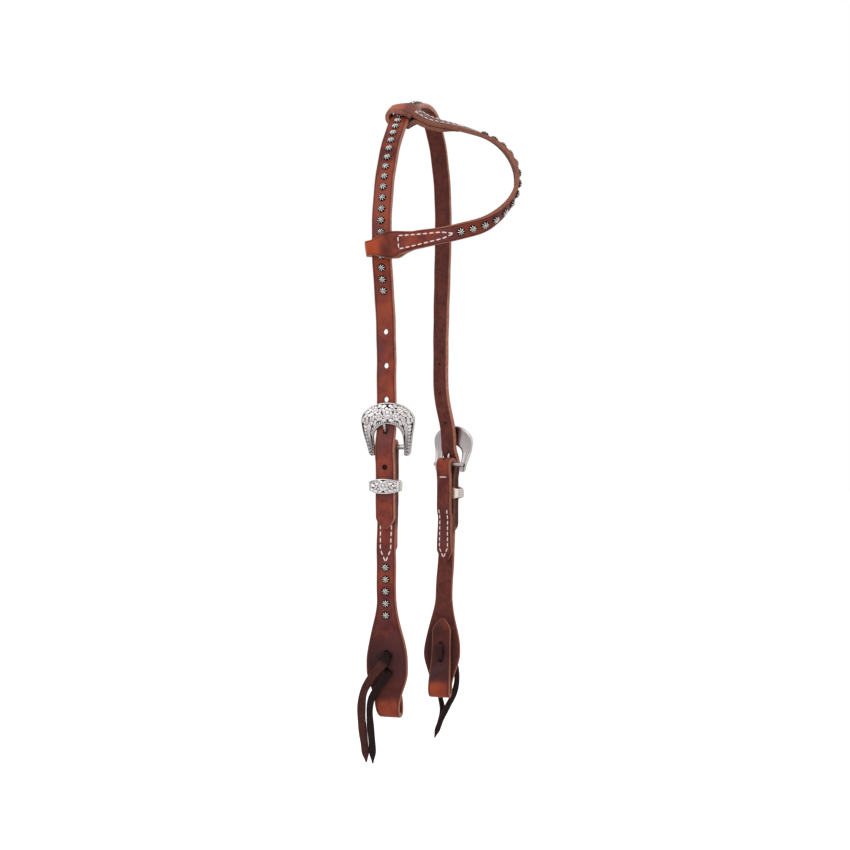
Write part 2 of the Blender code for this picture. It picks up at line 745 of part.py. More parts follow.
def ear_loop(angle, slant, drop, facing):
    """One loop, from behind the crown, round its back edge and out over its face."""
    middle = (loop_out + loop_in) / 2
    reach = (loop_out - loop_in) / 2
    line = [(8.5 * mm, loop_in - 0.3 * drop, 10.4 * mm), (2.0 * mm, loop_in, 8.8 * mm)]
    for k in range(9):
        a = -pi / 2 - pi * k / 8
        line.append((-6.3 * mm + 5.1 * mm * cos(a), middle + reach * sin(a), 6.2 * mm))
    for x, fall, half in ((0.5, 0.0, 8.6), (6.5, 0.3, 10.8), (10.0, 0.7, 11.3)):
        line.append((x * mm, loop_out - fall * drop, half * mm))
    found = []
    for x, r, half in line:
        point, up = on_arch(angle, x, r, x * slant)
        found.append((point, (up - forward * slant).normalized() * facing, half))
    return found


def ear_strap(line):
    stations = ear_tail(line) + ear_loop(ear_low, 0.12, 1.5 * mm, -1.0)
    stations += [(where, across, half) for where, across, half, outward in line]
    far_end = ear_tail(list(reversed(line))) + ear_loop(ear_high, -0.05, 3.4 * mm, 1.0)
    stations += reversed(far_end)
    strap = band("ear_strap", [(p - a * h, p + a * h) for p, a, h in stations], ear_thick, leather_bevel)
    pivot(strap, arch_centre)
    keep(strap, brown, 0.45)


def spots_on_ear(line, shape):
    """Spots at even steps along the outside of the ear curve."""
    lengths = [0.0]
    for here, there in zip(line, line[1:]):
        lengths.append(lengths[-1] + (there[0] - here[0]).length)
    span = lengths[-1] - ear_last_spot - ear_first_spot
    for k in range(ear_spots):
        goal = ear_first_spot + span * k / (ear_spots - 1)
        i = max(j for j in range(len(lengths) - 1) if lengths[j] <= goal)
        t = (goal - lengths[i]) / (lengths[i + 1] - lengths[i])
        here, there = line[i], line[i + 1]
        run = (there[0] - here[0]).normalized()
        across = here[1] * (1 - t) + there[1] * t
        outward = across.cross(run).normalized()
        data = shape.copy()
        data.transform(standing(here[0] + (there[0] - here[0]) * t + outward * (ear_thick / 2 + air), outward, run))
        spot = bpy.data.objects.new("ear_spot_%02d" % (k + 1), data)
        pivot(spot, arch_centre)
        keep(spot, silver, 0.4, 1.0)


crown_strap = crown()
loose_spot = spot_shape(0.0, 10)
for side in sides:
    adjusting_holes(crown_strap, side)
    cheek(side)
    buckle(side)
    tongue(side)
    keeper(side)
    spots_on_cheek(side, loose_spot)
    tie_lace(side)
keep(crown_strap, brown, 0.45)
for name, keys in tie_routes.items():
    tie_tail(name, name.split("_")[0], keys)
ear_middle = ear_line()
ear_strap(ear_middle)
spots_on_ear(ear_middle, loose_spot)
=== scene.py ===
from math import cos, pi, radians, sin

import bmesh
import bpy
import numpy as np
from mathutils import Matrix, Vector

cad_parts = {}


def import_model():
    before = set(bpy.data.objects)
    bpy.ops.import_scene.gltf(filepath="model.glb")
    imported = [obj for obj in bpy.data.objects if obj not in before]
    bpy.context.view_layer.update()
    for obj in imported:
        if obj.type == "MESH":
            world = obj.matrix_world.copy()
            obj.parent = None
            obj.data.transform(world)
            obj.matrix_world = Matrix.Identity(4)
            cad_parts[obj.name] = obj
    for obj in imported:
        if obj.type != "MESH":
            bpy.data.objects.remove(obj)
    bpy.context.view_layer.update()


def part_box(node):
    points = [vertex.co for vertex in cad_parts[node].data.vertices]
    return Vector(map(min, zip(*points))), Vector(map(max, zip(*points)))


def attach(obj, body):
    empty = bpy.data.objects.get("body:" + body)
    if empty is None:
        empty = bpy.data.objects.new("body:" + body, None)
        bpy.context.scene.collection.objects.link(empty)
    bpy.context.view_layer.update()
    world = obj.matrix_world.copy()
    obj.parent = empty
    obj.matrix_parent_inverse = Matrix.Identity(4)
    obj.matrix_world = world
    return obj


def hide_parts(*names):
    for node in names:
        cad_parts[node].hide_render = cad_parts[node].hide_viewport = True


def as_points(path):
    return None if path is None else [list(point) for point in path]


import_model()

mm = 0.001
scene = bpy.context.scene
scene.view_settings.view_transform = "Standard"

# Camera: level, a little round to the front of the off side, in metres
photo = {"away": 1.206, "round": radians(15.3), "height": -0.2834, "lens": 56.37, "sensor": 36.0}
camera = bpy.data.objects.new("photoCamera", bpy.data.cameras.new("photoCamera"))
scene.collection.objects.link(camera)
camera.data.lens = photo["lens"]
camera.data.sensor_width = photo["sensor"]
camera.location = (photo["away"] * sin(photo["round"]), -photo["away"] * cos(photo["round"]), photo["height"])
camera.rotation_euler = (pi / 2, 0.0, photo["round"])
scene.camera = camera
print("camera ready")


# Smooth step from 0 at t = 0 to 1 at t = 1: t squared times 3 - 2 t
def ease(t):
    t = np.clip(t, 0.0, 1.0)
    return t * t * (3.0 - 2.0 * t)


# 0 up to a start, easing to 1 over the stretch that follows it
def after(value, start, over):
    return ease((value - start) / over)


# 1 at first, easing to 0 over the stretch that ends at end
def before(value, end, over):
    return ease((end - value) / over)


# A quarter circle's height: 0 at an end, 1 from a radius away
def roundOff(left):
    return np.sqrt(1.0 - (1.0 - np.clip(left, 0.0, 1.0)) ** 2)


# Vectors over their lengths
def unit(v):
    return v / np.linalg.norm(v, axis=-1, keepdims=True)


# What is left of v square to the unit direction run, made a unit direction
def squareTo(run, v):
    return unit(v - run * (v * run).sum(-1)[..., None])


# The length of a path up to each of its points
def lengthAlong(path):
    return np.concatenate([[0.0], np.cumsum(np.linalg.norm(np.diff(path, axis=0), axis=1))])


# Rows of values at lengths s, read at other lengths on the straight lines between them
def readAt(at, s, values):
    return np.stack([np.interp(at, s, column) for column in values.T], -1)


# The same on a smooth curve (Hermite, with slopes weighted by the gaps on either side)
def through(s, values, at):
    gap = np.diff(s)
    slope = np.diff(values, axis=0) / gap[:, None]
    tangent = np.empty_like(values)
    tangent[0] = slope[0]
    tangent[-1] = slope[-1]
    tangent[1:-1] = (slope[:-1] * gap[1:, None] + slope[1:] * gap[:-1, None]) / (gap[1:] + gap[:-1])[:, None]
    i = np.clip(np.searchsorted(s, at, side="right") - 1, 0, len(gap) - 1)
    t = ((at - s[i]) / gap[i])[:, None]
    h = gap[i][:, None]
    return ((2 * t ** 3 - 3 * t ** 2 + 1) * values[i] + (t ** 3 - 2 * t ** 2 + t) * h * tangent[i]
            + (3 * t ** 2 - 2 * t ** 3) * values[i + 1] + (t ** 3 - t ** 2) * h * tangent[i + 1])


# Catmull-Rom through key rows, "steps" rows to each gap, as the part draws its curves
def keyCurve(keys, steps):
    keys = np.asarray(keys, float)
    ends = np.vstack([2 * keys[0] - keys[1], keys, 2 * keys[-1] - keys[-2]])
    t = (np.arange(steps) / steps)[None, :, None]
    a, b, c, d = (ends[i:len(ends) - 3 + i, None, :] for i in range(4))
    rows = 0.5 * (2 * b + (c - a) * t + (2 * a - 5 * b + 4 * c - d) * t ** 2 + (3 * b - a - 3 * c + d) * t ** 3)
    return np.vstack([rows.reshape(-1, keys.shape[1]), keys[-1:]])


# Lengths from here on are in millimetres, which makePiece turns into metres.  These are shared
# with the part
strap = {"wide": 16.0, "crownThick": 4.2, "cheekThick": 3.8, "earThick": 3.6, "corner": 0.75, "step": 1.1,
         "tail": -67.0, "tailBlunt": 10.0, "air": 0.3}
arch = {"radius": 133.0, "end": radians(105.0), "ease": 70.0, "nearReach": 66.0, "nearDrop": 90.0,
        "nearTuck": 9.0, "tuckOver": 130.0, "turnFrom": (radians(25.0), radians(65.0))}
buckle = {"barRadius": 2.1, "barLength": 34.6, "barSoft": 0.7, "barLevel": -3.4, "slip": 2.4}
forward = np.array([1.0, 0.0, 0.0])
upward = np.array([0.0, 0.0, 1.0])
arch["centre"] = upward * (strap["crownThick"] / 2 - arch["radius"])

# How each side hangs, by heights above its buckle's bar: the front edge's turn, the sway outward
# at the bar, below it and at the bottom, the drift forward, and the levels of keeper and bit
sides = {"off": {"out": -1.0, "turn": 0.0, "atBar": 0.0, "low": -1.0, "bottom": -5.0, "drift": -0.9,
                 "keeper": -32.0, "bit": -223.6, "corner": 3.6},
         "near": {"out": 1.0, "turn": radians(25.0), "atBar": 12.0, "low": 9.0, "bottom": -5.0, "drift": 1.7,
                  "keeper": -27.3, "bit": -218.4, "corner": 0.8}}
# where each of these comes in, as (height, over how much)
hang = {"legTurn": (90.0, 150.0), "legLoss": 0.68, "tailTurn": (-45.0, 85.0), "atBar": (76.0, 56.0),
        "low": (-45.0, 60.0), "bottom": (-85.0, 150.0), "drift": (-48.0, 45.0)}


# Forward and outward at heights z: the axes turned fully at the buckle, by a third of that at
# the top of the leg and not at all below the crown's tail
def facing(side, z):
    z = np.asarray(z, float)
    a = side["turn"] * (1.0 - hang["legLoss"] * after(z, *hang["legTurn"]))
    a = a * (1.0 - before(z, *hang["tailTurn"]))
    ahead = np.stack([np.cos(a), -side["out"] * np.sin(a), 0.0 * a], -1)
    return ahead, np.stack([np.sin(a), side["out"] * np.cos(a), 0.0 * a], -1)


for name, side in sides.items():
    ahead, outward = facing(side, 0.0)
    bar = np.array(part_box(name + "_buckle_bar")).mean(0) / mm
    side["name"] = name
    side["base"] = bar - outward * (side["atBar"] + buckle["barLevel"]) - ahead * buckle["slip"]
    side["bar"] = side["base"][2]
offSide, nearSide = sides.values()


# A point x forward, n outward and z up from the bar, carried along by the strap's turn and sway
def onSide(side, x, n, z):
    x, n, z = np.broadcast_arrays(np.asarray(x, float), n, z)
    sway = side["atBar"] * before(z, *hang["atBar"])
    sway = sway + (side["low"] - side["atBar"]) * before(z, *hang["low"])
    sway = sway + (side["bottom"] - side["low"]) * before(z, *hang["bottom"])
    x = x + side["drift"] * before(z, *hang["drift"])
    ahead, outward = facing(side, z)
    return side["base"] + ahead * x[..., None] + outward * (n + sway)[..., None] + upward * z[..., None]


# The same directions held still at one height, for metal pieces
def heldStill(side, level):
    ahead, outward = facing(side, level)
    origin = onSide(side, 0.0, 0.0, level) - upward * level

    def place(x, n, z):
        x, n, z = (v[..., None] for v in np.broadcast_arrays(np.asarray(x, float), n, z))
        return origin + ahead * x + outward * n + upward * z
    return place


# How far outward the middle of each layer lies, where "drawn" is how much crown and cheek come
# in together below the bar, and "spread" and "sewn" bring the lining up to them
layers = {"crown": 5.2, "crownFrom": (17.0, 17.0), "cheek": 0.9, "drawn": 2.1, "drawnFrom": (-3.0, 12.0),
          "lining": -7.7, "spread": 0.9, "sewn": 1.5, "sewnFrom": (-43.0, 9.0)}


# Each is a level and a share that eases in below a height
def crownOut(z):
    drawn = layers["drawn"] * before(z, *layers["drawnFrom"])
    return layers["crown"] * before(z, *layers["crownFrom"]) - drawn


def cheekOut(z):
    return layers["cheek"] - layers["drawn"] * before(z, *layers["drawnFrom"])


def liningOut(z):
    spread = layers["lining"] + layers["spread"] * before(z, *layers["drawnFrom"])
    return spread + layers["sewn"] * before(z, *layers["sewnFrom"])


# Half width of a blunt-pointed end, by the length left to its tip
def bluntHalf(left, half, blunt):
    t = np.clip(left / blunt, 0.0, 1.0)
    return half * np.where(left >= blunt, 1.0, 0.14 + 0.86 * (1.0 - (1.0 - t) ** 1.8))


# A strap's line at even steps: middles, directions across, half widths, and outward as across x
# run, by a sign
def evenLine(middles, across, halves, sign):
    s = lengthAlong(middles)
    at = np.linspace(0.0, s[-1], int(s[-1] / strap["step"]) + 1)
    mid = through(s, middles, at)
    half = through(s, halves[:, None], at)[:, 0]
    run = unit(np.gradient(mid, at, axis=0))
    side = squareTo(run, unit(through(s, across, at)))
    return {"s": at, "mid": mid, "across": side, "half": half, "out": unit(np.cross(side, run)) * sign,
            "run": run}


# A place on a strap: s along it, x across it, lifted off its middle
def onLine(line, s, x, lift):
    s, x, lift = np.broadcast_arrays(np.asarray(s, float), x, lift)
    found = {key: readAt(s, line["s"], line[key]) for key in ("mid", "across", "out", "run")}
    return found["mid"] + found["across"] * x[..., None] + found["out"] * lift[..., None], found


# The crown: off leg, a stretch whose tilt grows evenly, round arch, quarter ellipse, near leg
def crownLine():
    half, tail = strap["wide"] / 2, strap["tail"]
    start = arch["centre"] + arch["radius"] * np.array([0.0, -sin(arch["end"]), cos(arch["end"])])
    lean = arch["end"] - pi / 2
    easeLow = start[2] - offSide["bar"] - arch["ease"] * 0.995
    z = np.concatenate([np.arange(tail, 20.0, 2.0), np.linspace(20.0, easeLow, 12)])
    parts = [(onSide(offSide, 0.0, crownOut(z), z), facing(offSide, z)[0],
              bluntHalf(z - tail, half, strap["tailBlunt"]))]
    tilt = lean * (1.0 - np.linspace(7 / 8, 1 / 8, 7))
    bend = arch["ease"] / lean
    eased = np.stack([0.0 * tilt, start[1] + bend * (np.cos(tilt) - cos(lean)),
                      start[2] - bend * (sin(lean) - np.sin(tilt))], -1)
    a = arch["end"] * (1.0 - np.arange(48) / 48)
    ring = arch["centre"] + arch["radius"] * np.stack([0.0 * a, -np.sin(a), np.cos(a)], -1)
    for run in (eased, ring):
        parts.append((run, np.tile(forward, (len(run), 1)), np.full(len(run), half)))
    t = np.linspace(0.0, pi / 2, 28)
    top, drop, reach = strap["crownThick"] / 2, arch["nearDrop"], arch["nearReach"]
    quarter = np.stack([0.0 * t, reach * np.sin(t), top - drop + drop * np.cos(t)], -1)
    out = unit(np.stack([0.0 * t, drop * np.sin(t), reach * np.cos(t)], -1))
    nearTop = top - drop - nearSide["bar"]
    ahead = facing(nearSide, nearTop)[0]
    turn = (np.arctan2(-ahead[1], ahead[0]) * after(t, *arch["turnFrom"]))[:, None]
    parts.append((quarter, forward * np.cos(turn) - out * np.sin(turn), np.full(len(t), half)))
    z = np.append(np.arange(nearTop - 9.0, tail, -4.0), tail)
    leg = onSide(nearSide, 0.0, crownOut(z), z)
    leg[:, 1] += arch["nearTuck"] * (1.0 - before(z, nearTop, arch["tuckOver"]))
    parts.append((leg, facing(nearSide, z)[0], bluntHalf(z - tail, half, strap["tailBlunt"])))
    return evenLine(*[np.concatenate(part) for part in zip(*parts)], 1.0)


cheek = {"foldTip": -95.0, "foldPoint": 12.0, "flareTop": -124.0, "flareWide": -178.0, "gap": 5.5, "wide": 35.0,
         "foldWide": 21.0, "narrowed": (40.0, 30.0), "bitTip": -145.5, "bitBlunt": 12.0, "meets": 26.0,
         "pinch": 1.6, "pinchOver": 40.0, "laceHoles": (-169.0, -183.5), "laceHole": 2.3, "cornerOver": 10.0}


# A cheek, as rows of (outward, height, half width): lining tip, a half circle round the bar,
# down the cheek, a half circle round the bit, and up inside to its tip
def cheekLine(side):
    half, thick, tip = strap["wide"] / 2, strap["cheekThick"], cheek["bitTip"]
    z = np.append(np.arange(cheek["foldTip"], -2.0, 2.5), -1.0)
    point = 0.12 + 0.88 * (z - cheek["foldTip"]) / cheek["foldPoint"]
    rows = [(liningOut(z), z, half * np.minimum(1.0, point))]
    a = pi * np.arange(1, 12) / 12
    radius = buckle["barRadius"] + strap["air"] + thick / 2
    rows.append((buckle["barLevel"] - radius * np.cos(a), radius * np.sin(a), half + 0.0 * a))
    foldRadius = (cheek["gap"] + thick) / 2
    foldLevel = side["bit"] + thick / 2 + foldRadius
    z = np.arange(-1.0, foldLevel + 2.0, -2.5)
    flare = before(z, cheek["flareTop"], cheek["flareTop"] - cheek["flareWide"])
    narrowed = before(z - side["bit"], *cheek["narrowed"])
    wide = cheek["wide"] * flare + strap["wide"] * (1.0 - flare)
    wide = wide - (cheek["wide"] - cheek["foldWide"]) * narrowed
    rows.append((cheekOut(z), z, wide / 2))
    face = cheekOut(cheek["flareTop"])
    a = pi * np.arange(0, 13) / 12
    rows.append((face - foldRadius + foldRadius * np.cos(a), foldLevel - foldRadius * np.sin(a),
                 cheek["foldWide"] / 2 + 0.0 * a))
    z = np.linspace(foldLevel + 2.5, tip, 34)
    together = thick + strap["air"]
    n = face - together - (2 * foldRadius - together) * (1.0 - after(z, foldLevel, cheek["meets"]))
    wide = cheek["foldWide"] / 2 - cheek["pinch"] * after(z, foldLevel, cheek["pinchOver"])
    rows.append((n, z, bluntHalf(tip - z, wide, cheek["bitBlunt"])))
    n, z, halves = (np.concatenate(part) for part in zip(*rows))
    # the fold's back corner is rounded off, which shifts the middle
    up = (z - side["bit"] - thick / 2) / cheek["cornerOver"]
    trim = side["corner"] * np.maximum(0.0, 1.0 - up) ** 1.5
    return evenLine(onSide(side, trim / 2, n, z), facing(side, z)[0], halves - trim / 2, side["out"])


ear = {"low": radians(93.6), "high": radians(34.0), "half": 6.4, "tail": 45.0, "tailFrom": 5.5, "over": 3.2,
       "under": 1.0, "firstSpot": 52.5, "lastSpot": 67.2, "spots": 14, "loopSteps": 4}
ear["loopOut"] = arch["radius"] + (strap["crownThick"] + strap["earThick"]) / 2 + ear["over"]
ear["loopIn"] = arch["radius"] - (strap["crownThick"] + strap["earThick"]) / 2 - ear["under"]

# Key points of the ear curve and the slope of the strap's width in degrees
earKeys = [((29.4, -139.8, -135.9), -88.0), ((47.3, -138.8, -133.1), -85.0), ((66.4, -133.0, -128.9), -78.0),
           ((85.6, -125.5, -122.0), -60.0), ((98.8, -116.0, -109.3), -40.0), ((105.0, -106.5, -93.5), -23.0),
           ((103.3, -98.0, -75.3), -8.0), ((93.4, -91.5, -58.4), 4.0), ((77.2, -86.5, -45.6), 14.0),
           ((52.1, -81.8, -35.0), 24.0), ((27.2, -79.4, -27.1), 31.0)]


# A point by the arch: x forward, r out from its centre, y along the crown towards the top
def onArch(angle, x, r, y):
    outward = np.array([0.0, -sin(angle), cos(angle)])
    up = np.array([0.0, cos(angle), sin(angle)])
    x, r, y = (v[..., None] for v in np.broadcast_arrays(np.asarray(x, float), r, y))
    return arch["centre"] + outward * r + up * y + forward * x, up


# Between the two loops: the key curve, with middles, across from the slopes, halves that widen
# towards both ends, and outward
def earMiddle():
    steps = ear["loopSteps"]
    first = onArch(ear["low"], 15.0, ear["loopOut"] - 1.5, 2.4)[0]
    last = onArch(ear["high"], 13.0, ear["loopOut"] - 4.6, -0.6)[0]
    route = keyCurve(np.vstack([first, np.array([key[0] for key in earKeys]), last]), steps)
    top = len(earKeys) - 1.0
    i = np.arange(len(route))
    t = np.clip(i / steps - 1.0, 0.0, top)
    slope = np.radians(np.interp(t, np.arange(len(earKeys)), [key[1] for key in earKeys]))
    half = ear["half"] + ease(1.0 - np.minimum(t, top - t) / 1.5)
    half = half + 2.4 * np.maximum(0, np.maximum(steps - i, i - len(route) + 1 + steps)) / steps
    run = unit(route[np.minimum(len(route) - 1, i + 1)] - route[np.maximum(0, i - 1)])
    across = squareTo(run, np.stack([0.0 * slope - 0.3, np.cos(slope), np.sin(slope)], -1))
    return route, across, half, unit(np.cross(across, run))


# The turned-back end under the first part of the line, tip first: the line a layer further in,
# spreading towards the loop
def earTail(route, across, half, outward):
    layer = strap["earThick"] + strap["air"]
    length = lengthAlong(route)
    use = (length <= ear["tail"]) & (length >= ear["tailFrom"])
    spread = layer + (ear["loopOut"] - ear["loopIn"] - layer) * 0.62 * (1.0 - ease(length / 9.0))
    wide = (half - 0.8) * np.minimum(1.0, 0.12 + (ear["tail"] - length) / 13.0)
    return (route - outward * spread[:, None])[use][::-1], across[use][::-1], wide[use][::-1]


# From behind the crown, by a half ellipse round its back edge and out over its face
def earLoop(angle, slant, drop, way):
    middle = (ear["loopOut"] + ear["loopIn"]) / 2
    reach = (ear["loopOut"] - ear["loopIn"]) / 2
    a = -pi / 2 - pi * np.arange(9) / 8
    x = np.concatenate([[8.5, 2.0], -6.3 + 5.1 * np.cos(a), [0.5, 6.5, 10.0]])
    r = np.concatenate([[ear["loopIn"] - 0.3 * drop, ear["loopIn"]], middle + reach * np.sin(a),
                        ear["loopOut"] - np.array([0.0, 0.3, 0.7]) * drop])
    half = np.concatenate([[10.4, 8.8], np.full(9, 6.2), [8.6, 10.8, 11.3]])
    points, up = onArch(angle, x, r, x * slant)
    across = unit(up - forward * slant) * way
    return points, np.tile(across, (len(x), 1)), half


# Tail, loop, middle, loop and tail in one line, and the lengths where the middle starts and ends
def earLine():
    route, across, half, outward = earMiddle()
    lastTail = earTail(route[::-1], across[::-1], half[::-1], outward[::-1])
    parts = [earTail(route, across, half, outward), earLoop(ear["low"], 0.12, 1.5, -1.0), (route, across, half)]
    parts += [[rows[::-1] for rows in part] for part in (earLoop(ear["high"], -0.05, 3.4, 1.0), lastTail)]
    middles, acrosses, halves = (np.concatenate(part) for part in zip(*parts))
    first = len(parts[0][0]) + len(parts[1][0])
    return evenLine(middles, acrosses, halves, 1.0), lengthAlong(middles)[[first, first + len(route) - 1]]


crown = crownLine()
cheekLines = {name: cheekLine(side) for name, side in sides.items()}
earStations, earLengths = earLine()
print("strap lines ready")


# Put points and faces in a mesh: faces is a list of index arrays, one for each number of
# corners, and each UV map is a pair of values at each point
def makePiece(name, points, faces, maps, merge=False, turnOut=True):
    data = bpy.data.meshes.new(name)
    data.from_pydata(points.reshape(-1, 3) * mm, [], [row for block in faces for row in block.tolist()])
    which = np.empty(len(data.loops), np.int32)
    data.loops.foreach_get("vertex_index", which)
    for key, values in maps.items():
        layer = data.uv_layers.new(name=key)
        layer.uv.foreach_set("vector", values.reshape(-1, 2)[which].astype(np.float32).ravel())
    if turnOut:
        build = bmesh.new()
        build.from_mesh(data)
        if merge:
            bmesh.ops.remove_doubles(build, verts=build.verts, dist=0.000001)
        bmesh.ops.recalc_face_normals(build, faces=build.faces)
        build.to_mesh(data)
        build.free()
    data.shade_smooth()
    piece = bpy.data.objects.new(name, data)
    scene.collection.objects.link(piece)
    return piece


# Faces of a grid of rows by ring points: quads between rows, with both ends capped if asked
def gridFaces(rows, ring, caps=True, start=0):
    i = np.arange(rows - 1)[:, None]
    k = np.arange(ring)[None, :]
    m = (k + 1) % ring
    quads = np.stack([i * ring + k, i * ring + m, (i + 1) * ring + m, (i + 1) * ring + k], -1).reshape(-1, 4)
    ends = np.stack([np.arange(ring)[::-1], (rows - 1) * ring + np.arange(ring)])
    return [quads + start, ends + start] if caps else [quads + start]


# Faces of one shape repeated, "size" points apart
def repeated(faces, count, size):
    starts = np.arange(count)[:, None, None] * size
    return [(block[None] + starts).reshape(-1, block.shape[1]) for block in faces]


# The strap's rounded section, once round from the back edge of the face: four corners of
# quarter arcs between flat runs.  Rows of (width share, corner share, height share, corner
# share, edge, flesh)
def strapSection():
    def corner(x, y, angles):
        return [(x, x * cos(a), y, y * sin(a), cos(a) ** 0.6, 0.5 - 0.5 * y) for a in angles]
    flat = np.linspace(-1.0, 1.0, 11)
    arc = np.radians([67.5, 45.0, 22.5, 0.0])
    rows = [(a, 0.0, 1.0, 1.0, 0.5 * (abs(a) > 0.9), 0.0) for a in flat]
    rows += corner(1.0, 1.0, arc) + [(1.0, 1.0, 0.0, 0.0, 1.0, 0.5)] + corner(1.0, -1.0, arc[::-1])
    rows += [(a, 0.0, -1.0, -1.0, 0.0, 1.0) for a in flat[::-1]]
    rows += corner(-1.0, -1.0, arc) + [(-1.0, -1.0, 0.0, 0.0, 1.0, 0.5)] + corner(-1.0, 1.0, arc[::-1])
    return np.array(rows)


# A strap: the section carried along its line, a little crowned on its face and uneven by slow
# waves, thinned from the face over each end by its (least share, length) pair, with maps of
# edge and flesh, of the painted highlight on folds and of painted shade and other darkening
unevenness = {"wave": 0.12, "often": 0.19, "crowned": 0.16}
pared = {"crown": ((0.7, 7.0), (0.7, 7.0)), "cheek": ((0.12, 18.0), (0.45, 9.0)),
         "ear": ((0.3, 16.0), (0.3, 16.0))}


def makeStrap(name, line, thick, pared, bend, shadeAndDarkening):
    section = strapSection()
    corner = strap["corner"]
    share = 1.0
    for left, (least, over) in zip((line["s"], line["s"][-1] - line["s"]), pared):
        share = share * (least + (1.0 - least) * ease(left / over))
    wave = unevenness["wave"] * np.sin(line["s"] * unevenness["often"])
    half = np.maximum(line["half"][:, None] + wave[:, None] * section[None, :, 0], corner * 1.02)
    x = section[:, 0] * (half - corner) + section[:, 1] * corner
    y = section[:, 2] * (thick / 2 - corner) + section[:, 3] * corner
    y = y + unevenness["crowned"] * (1.0 - section[:, 0] ** 2) * (section[:, 3] > 0.99)
    y = share[:, None] * (y + thick / 2) - thick / 2
    points = line["mid"][:, None] + line["across"][:, None] * x[..., None] + line["out"][:, None] * y[..., None]
    s = np.broadcast_to(line["s"][:, None], x.shape)
    edge = section[:, 4] * after(share[:, None], 0.1, 0.3)
    maps = {"layer": np.stack([edge, section[:, 5] + 0.0 * x], -1),
            "tone": np.stack([bend(s, x, points), shadeAndDarkening(s, x, points)], -1)}
    return makePiece(name, points, gridFaces(len(line["s"]), len(section)), maps)


# Maps of a punch, whose walls are cut edge with a share of painted shade
def cutMaps(count, shadeAndDarkening):
    return {"layer": np.tile([1.0, 0.0], (count, 1)), "tone": np.tile([0.0, shadeAndDarkening], (count, 1))}


# A short round punch between two points, as two rings
def makePunch(low, high, radius, around=28):
    axis = unit(high - low)
    other = unit(np.cross(axis, [1.0, 0.3, 0.2]))
    a = 2 * pi * np.arange(around) / around
    ring = (other * np.cos(a)[:, None] + np.cross(axis, other) * np.sin(a)[:, None]) * radius
    points = np.stack([low + ring, high + ring])
    return makePiece("punch", points, gridFaces(2, around), cutMaps(2 * around, hole["shadeAndDarkening"]))


# Cut every hole at once, then remove the cutters
def cutWith(piece, cutters):
    for cutter in cutters:
        cut = piece.modifiers.new("hole", "BOOLEAN")
        cut.operation = "DIFFERENCE"
        cut.solver = "EXACT"
        cut.object = cutter
    bpy.context.view_layer.update()
    seen = piece.evaluated_get(bpy.context.evaluated_depsgraph_get())
    data = bpy.data.meshes.new_from_object(seen)
    piece.modifiers.clear()
    old = piece.data
    piece.data = data
    bpy.data.meshes.remove(old)
    data.name = piece.name
    for cutter in cutters:
        bpy.data.objects.remove(cutter, do_unlink=True)
    data.shade_smooth()
    data.set_sharp_from_angle(angle=radians(50.0))
    return piece


# Adjusting holes at an even pitch, and the tongue's, slanted and worn long by its slack each way.
# Their walls take painted shade, and the face is darker round them
hole = {"off": 4.6, "near": 3.3, "worn": 3.9, "offSlack": 1.1, "nearSlack": 1.6, "pitch": 27.7, "tongue": 11.2,
        "counts": (-1, 1, 2, 3), "through": 7.0, "slant": ((-3.04, 4.86), (7.44, 18.14)), "shadeAndDarkening": 0.75,
        "dark": 0.8, "around": 4.2}
holePlaces = []
crownCutters = []
for name, side in sides.items():
    ends = []
    for k in hole["counts"]:
        z = hole["tongue"] + k * hole["pitch"]
        ends.append([onSide(side, 0.0, crownOut(z) + d, z) for d in (-hole["through"], hole["through"])]
                    + [hole[name]])
    for shift in (-hole[name + "Slack"], hole[name + "Slack"]):
        ends.append([heldStill(side, 0.0)(0.0, n, z + shift) for n, z in hole["slant"]] + [hole["worn"]])
    for low, high, wide in ends:
        crownCutters.append(makePunch(low, high, wide / 2))
        holePlaces.append((low + high) / 2)

shadow = {"above": (4.0, 8.0), "tail": 6.0, "edge": (7.2, 0.4), "crown": 0.85, "nearTop": 0.2,
          "nearTopFrom": (-200.0, 60.0), "nearOnly": (20.0, 20.0)}


# 1 on the cut edges between the layers, from just above the bar to the tail's tip
def inShade(side, x, points):
    z = points[..., 2] - side["bar"]
    along = after(z, strap["tail"], shadow["tail"]) * before(z, *shadow["above"])
    return along * after(np.abs(x), *shadow["edge"])


# The crown's painted shade on the near side's edges between the layers and a little under its
# near top, and darker round holes
def crownShadeAndDarkening(s, x, points):
    shade = shadow["crown"] * inShade(nearSide, x, points) * (points[..., 1] > 0.0)
    dim = after(points[..., 2], *shadow["nearTopFrom"]) * after(points[..., 1], *shadow["nearOnly"])
    away = np.min([np.linalg.norm(points - place, axis=-1) for place in holePlaces], axis=0)
    return np.max([shade, shadow["nearTop"] * dim, hole["dark"] * (1.0 - ease(away / hole["around"]))], axis=0)


# No painted highlight: nothing on the crown bends
def noHighlight(s, x, points):
    return 0.0 * x


crownStrap = makeStrap("crownStrap", crown, strap["crownThick"], pared["crown"], noHighlight, crownShadeAndDarkening)
cutWith(crownStrap, crownCutters)
print("crown strap ready")


# Each cheek, orange with a painted highlight where it bends round the bit and the bar, darker over
# its wide end, nearly black round the lace, with painted shade between its layers and in the
# hollows by the lace.  Heights are above the bit's fold
bitTone = {"orange": 0.34, "from": (19.0, 8.0), "offFold": 0.35, "nearFold": 0.42, "foldFrom": (-8.0, 8.0),
           "wide": 0.66, "wideTo": (92.0, 42.0), "spared": 0.75, "sparedFrom": (0.7, 0.6), "back": 0.14,
           "lining": 0.24, "liningFrom": (-10.0, 20.0), "under": 0.66, "lace": 0.9, "laceReach": 15.0,
           "hollow": (9.4, 5.0), "behind": (4.6, 1.6)}
# the slot's walls take a share of painted shade
slot = {"across": (-1.85, 1.85), "deep": (-8.3, 4.6), "tall": (-4.6, 9.0), "shadeAndDarkening": 0.3}


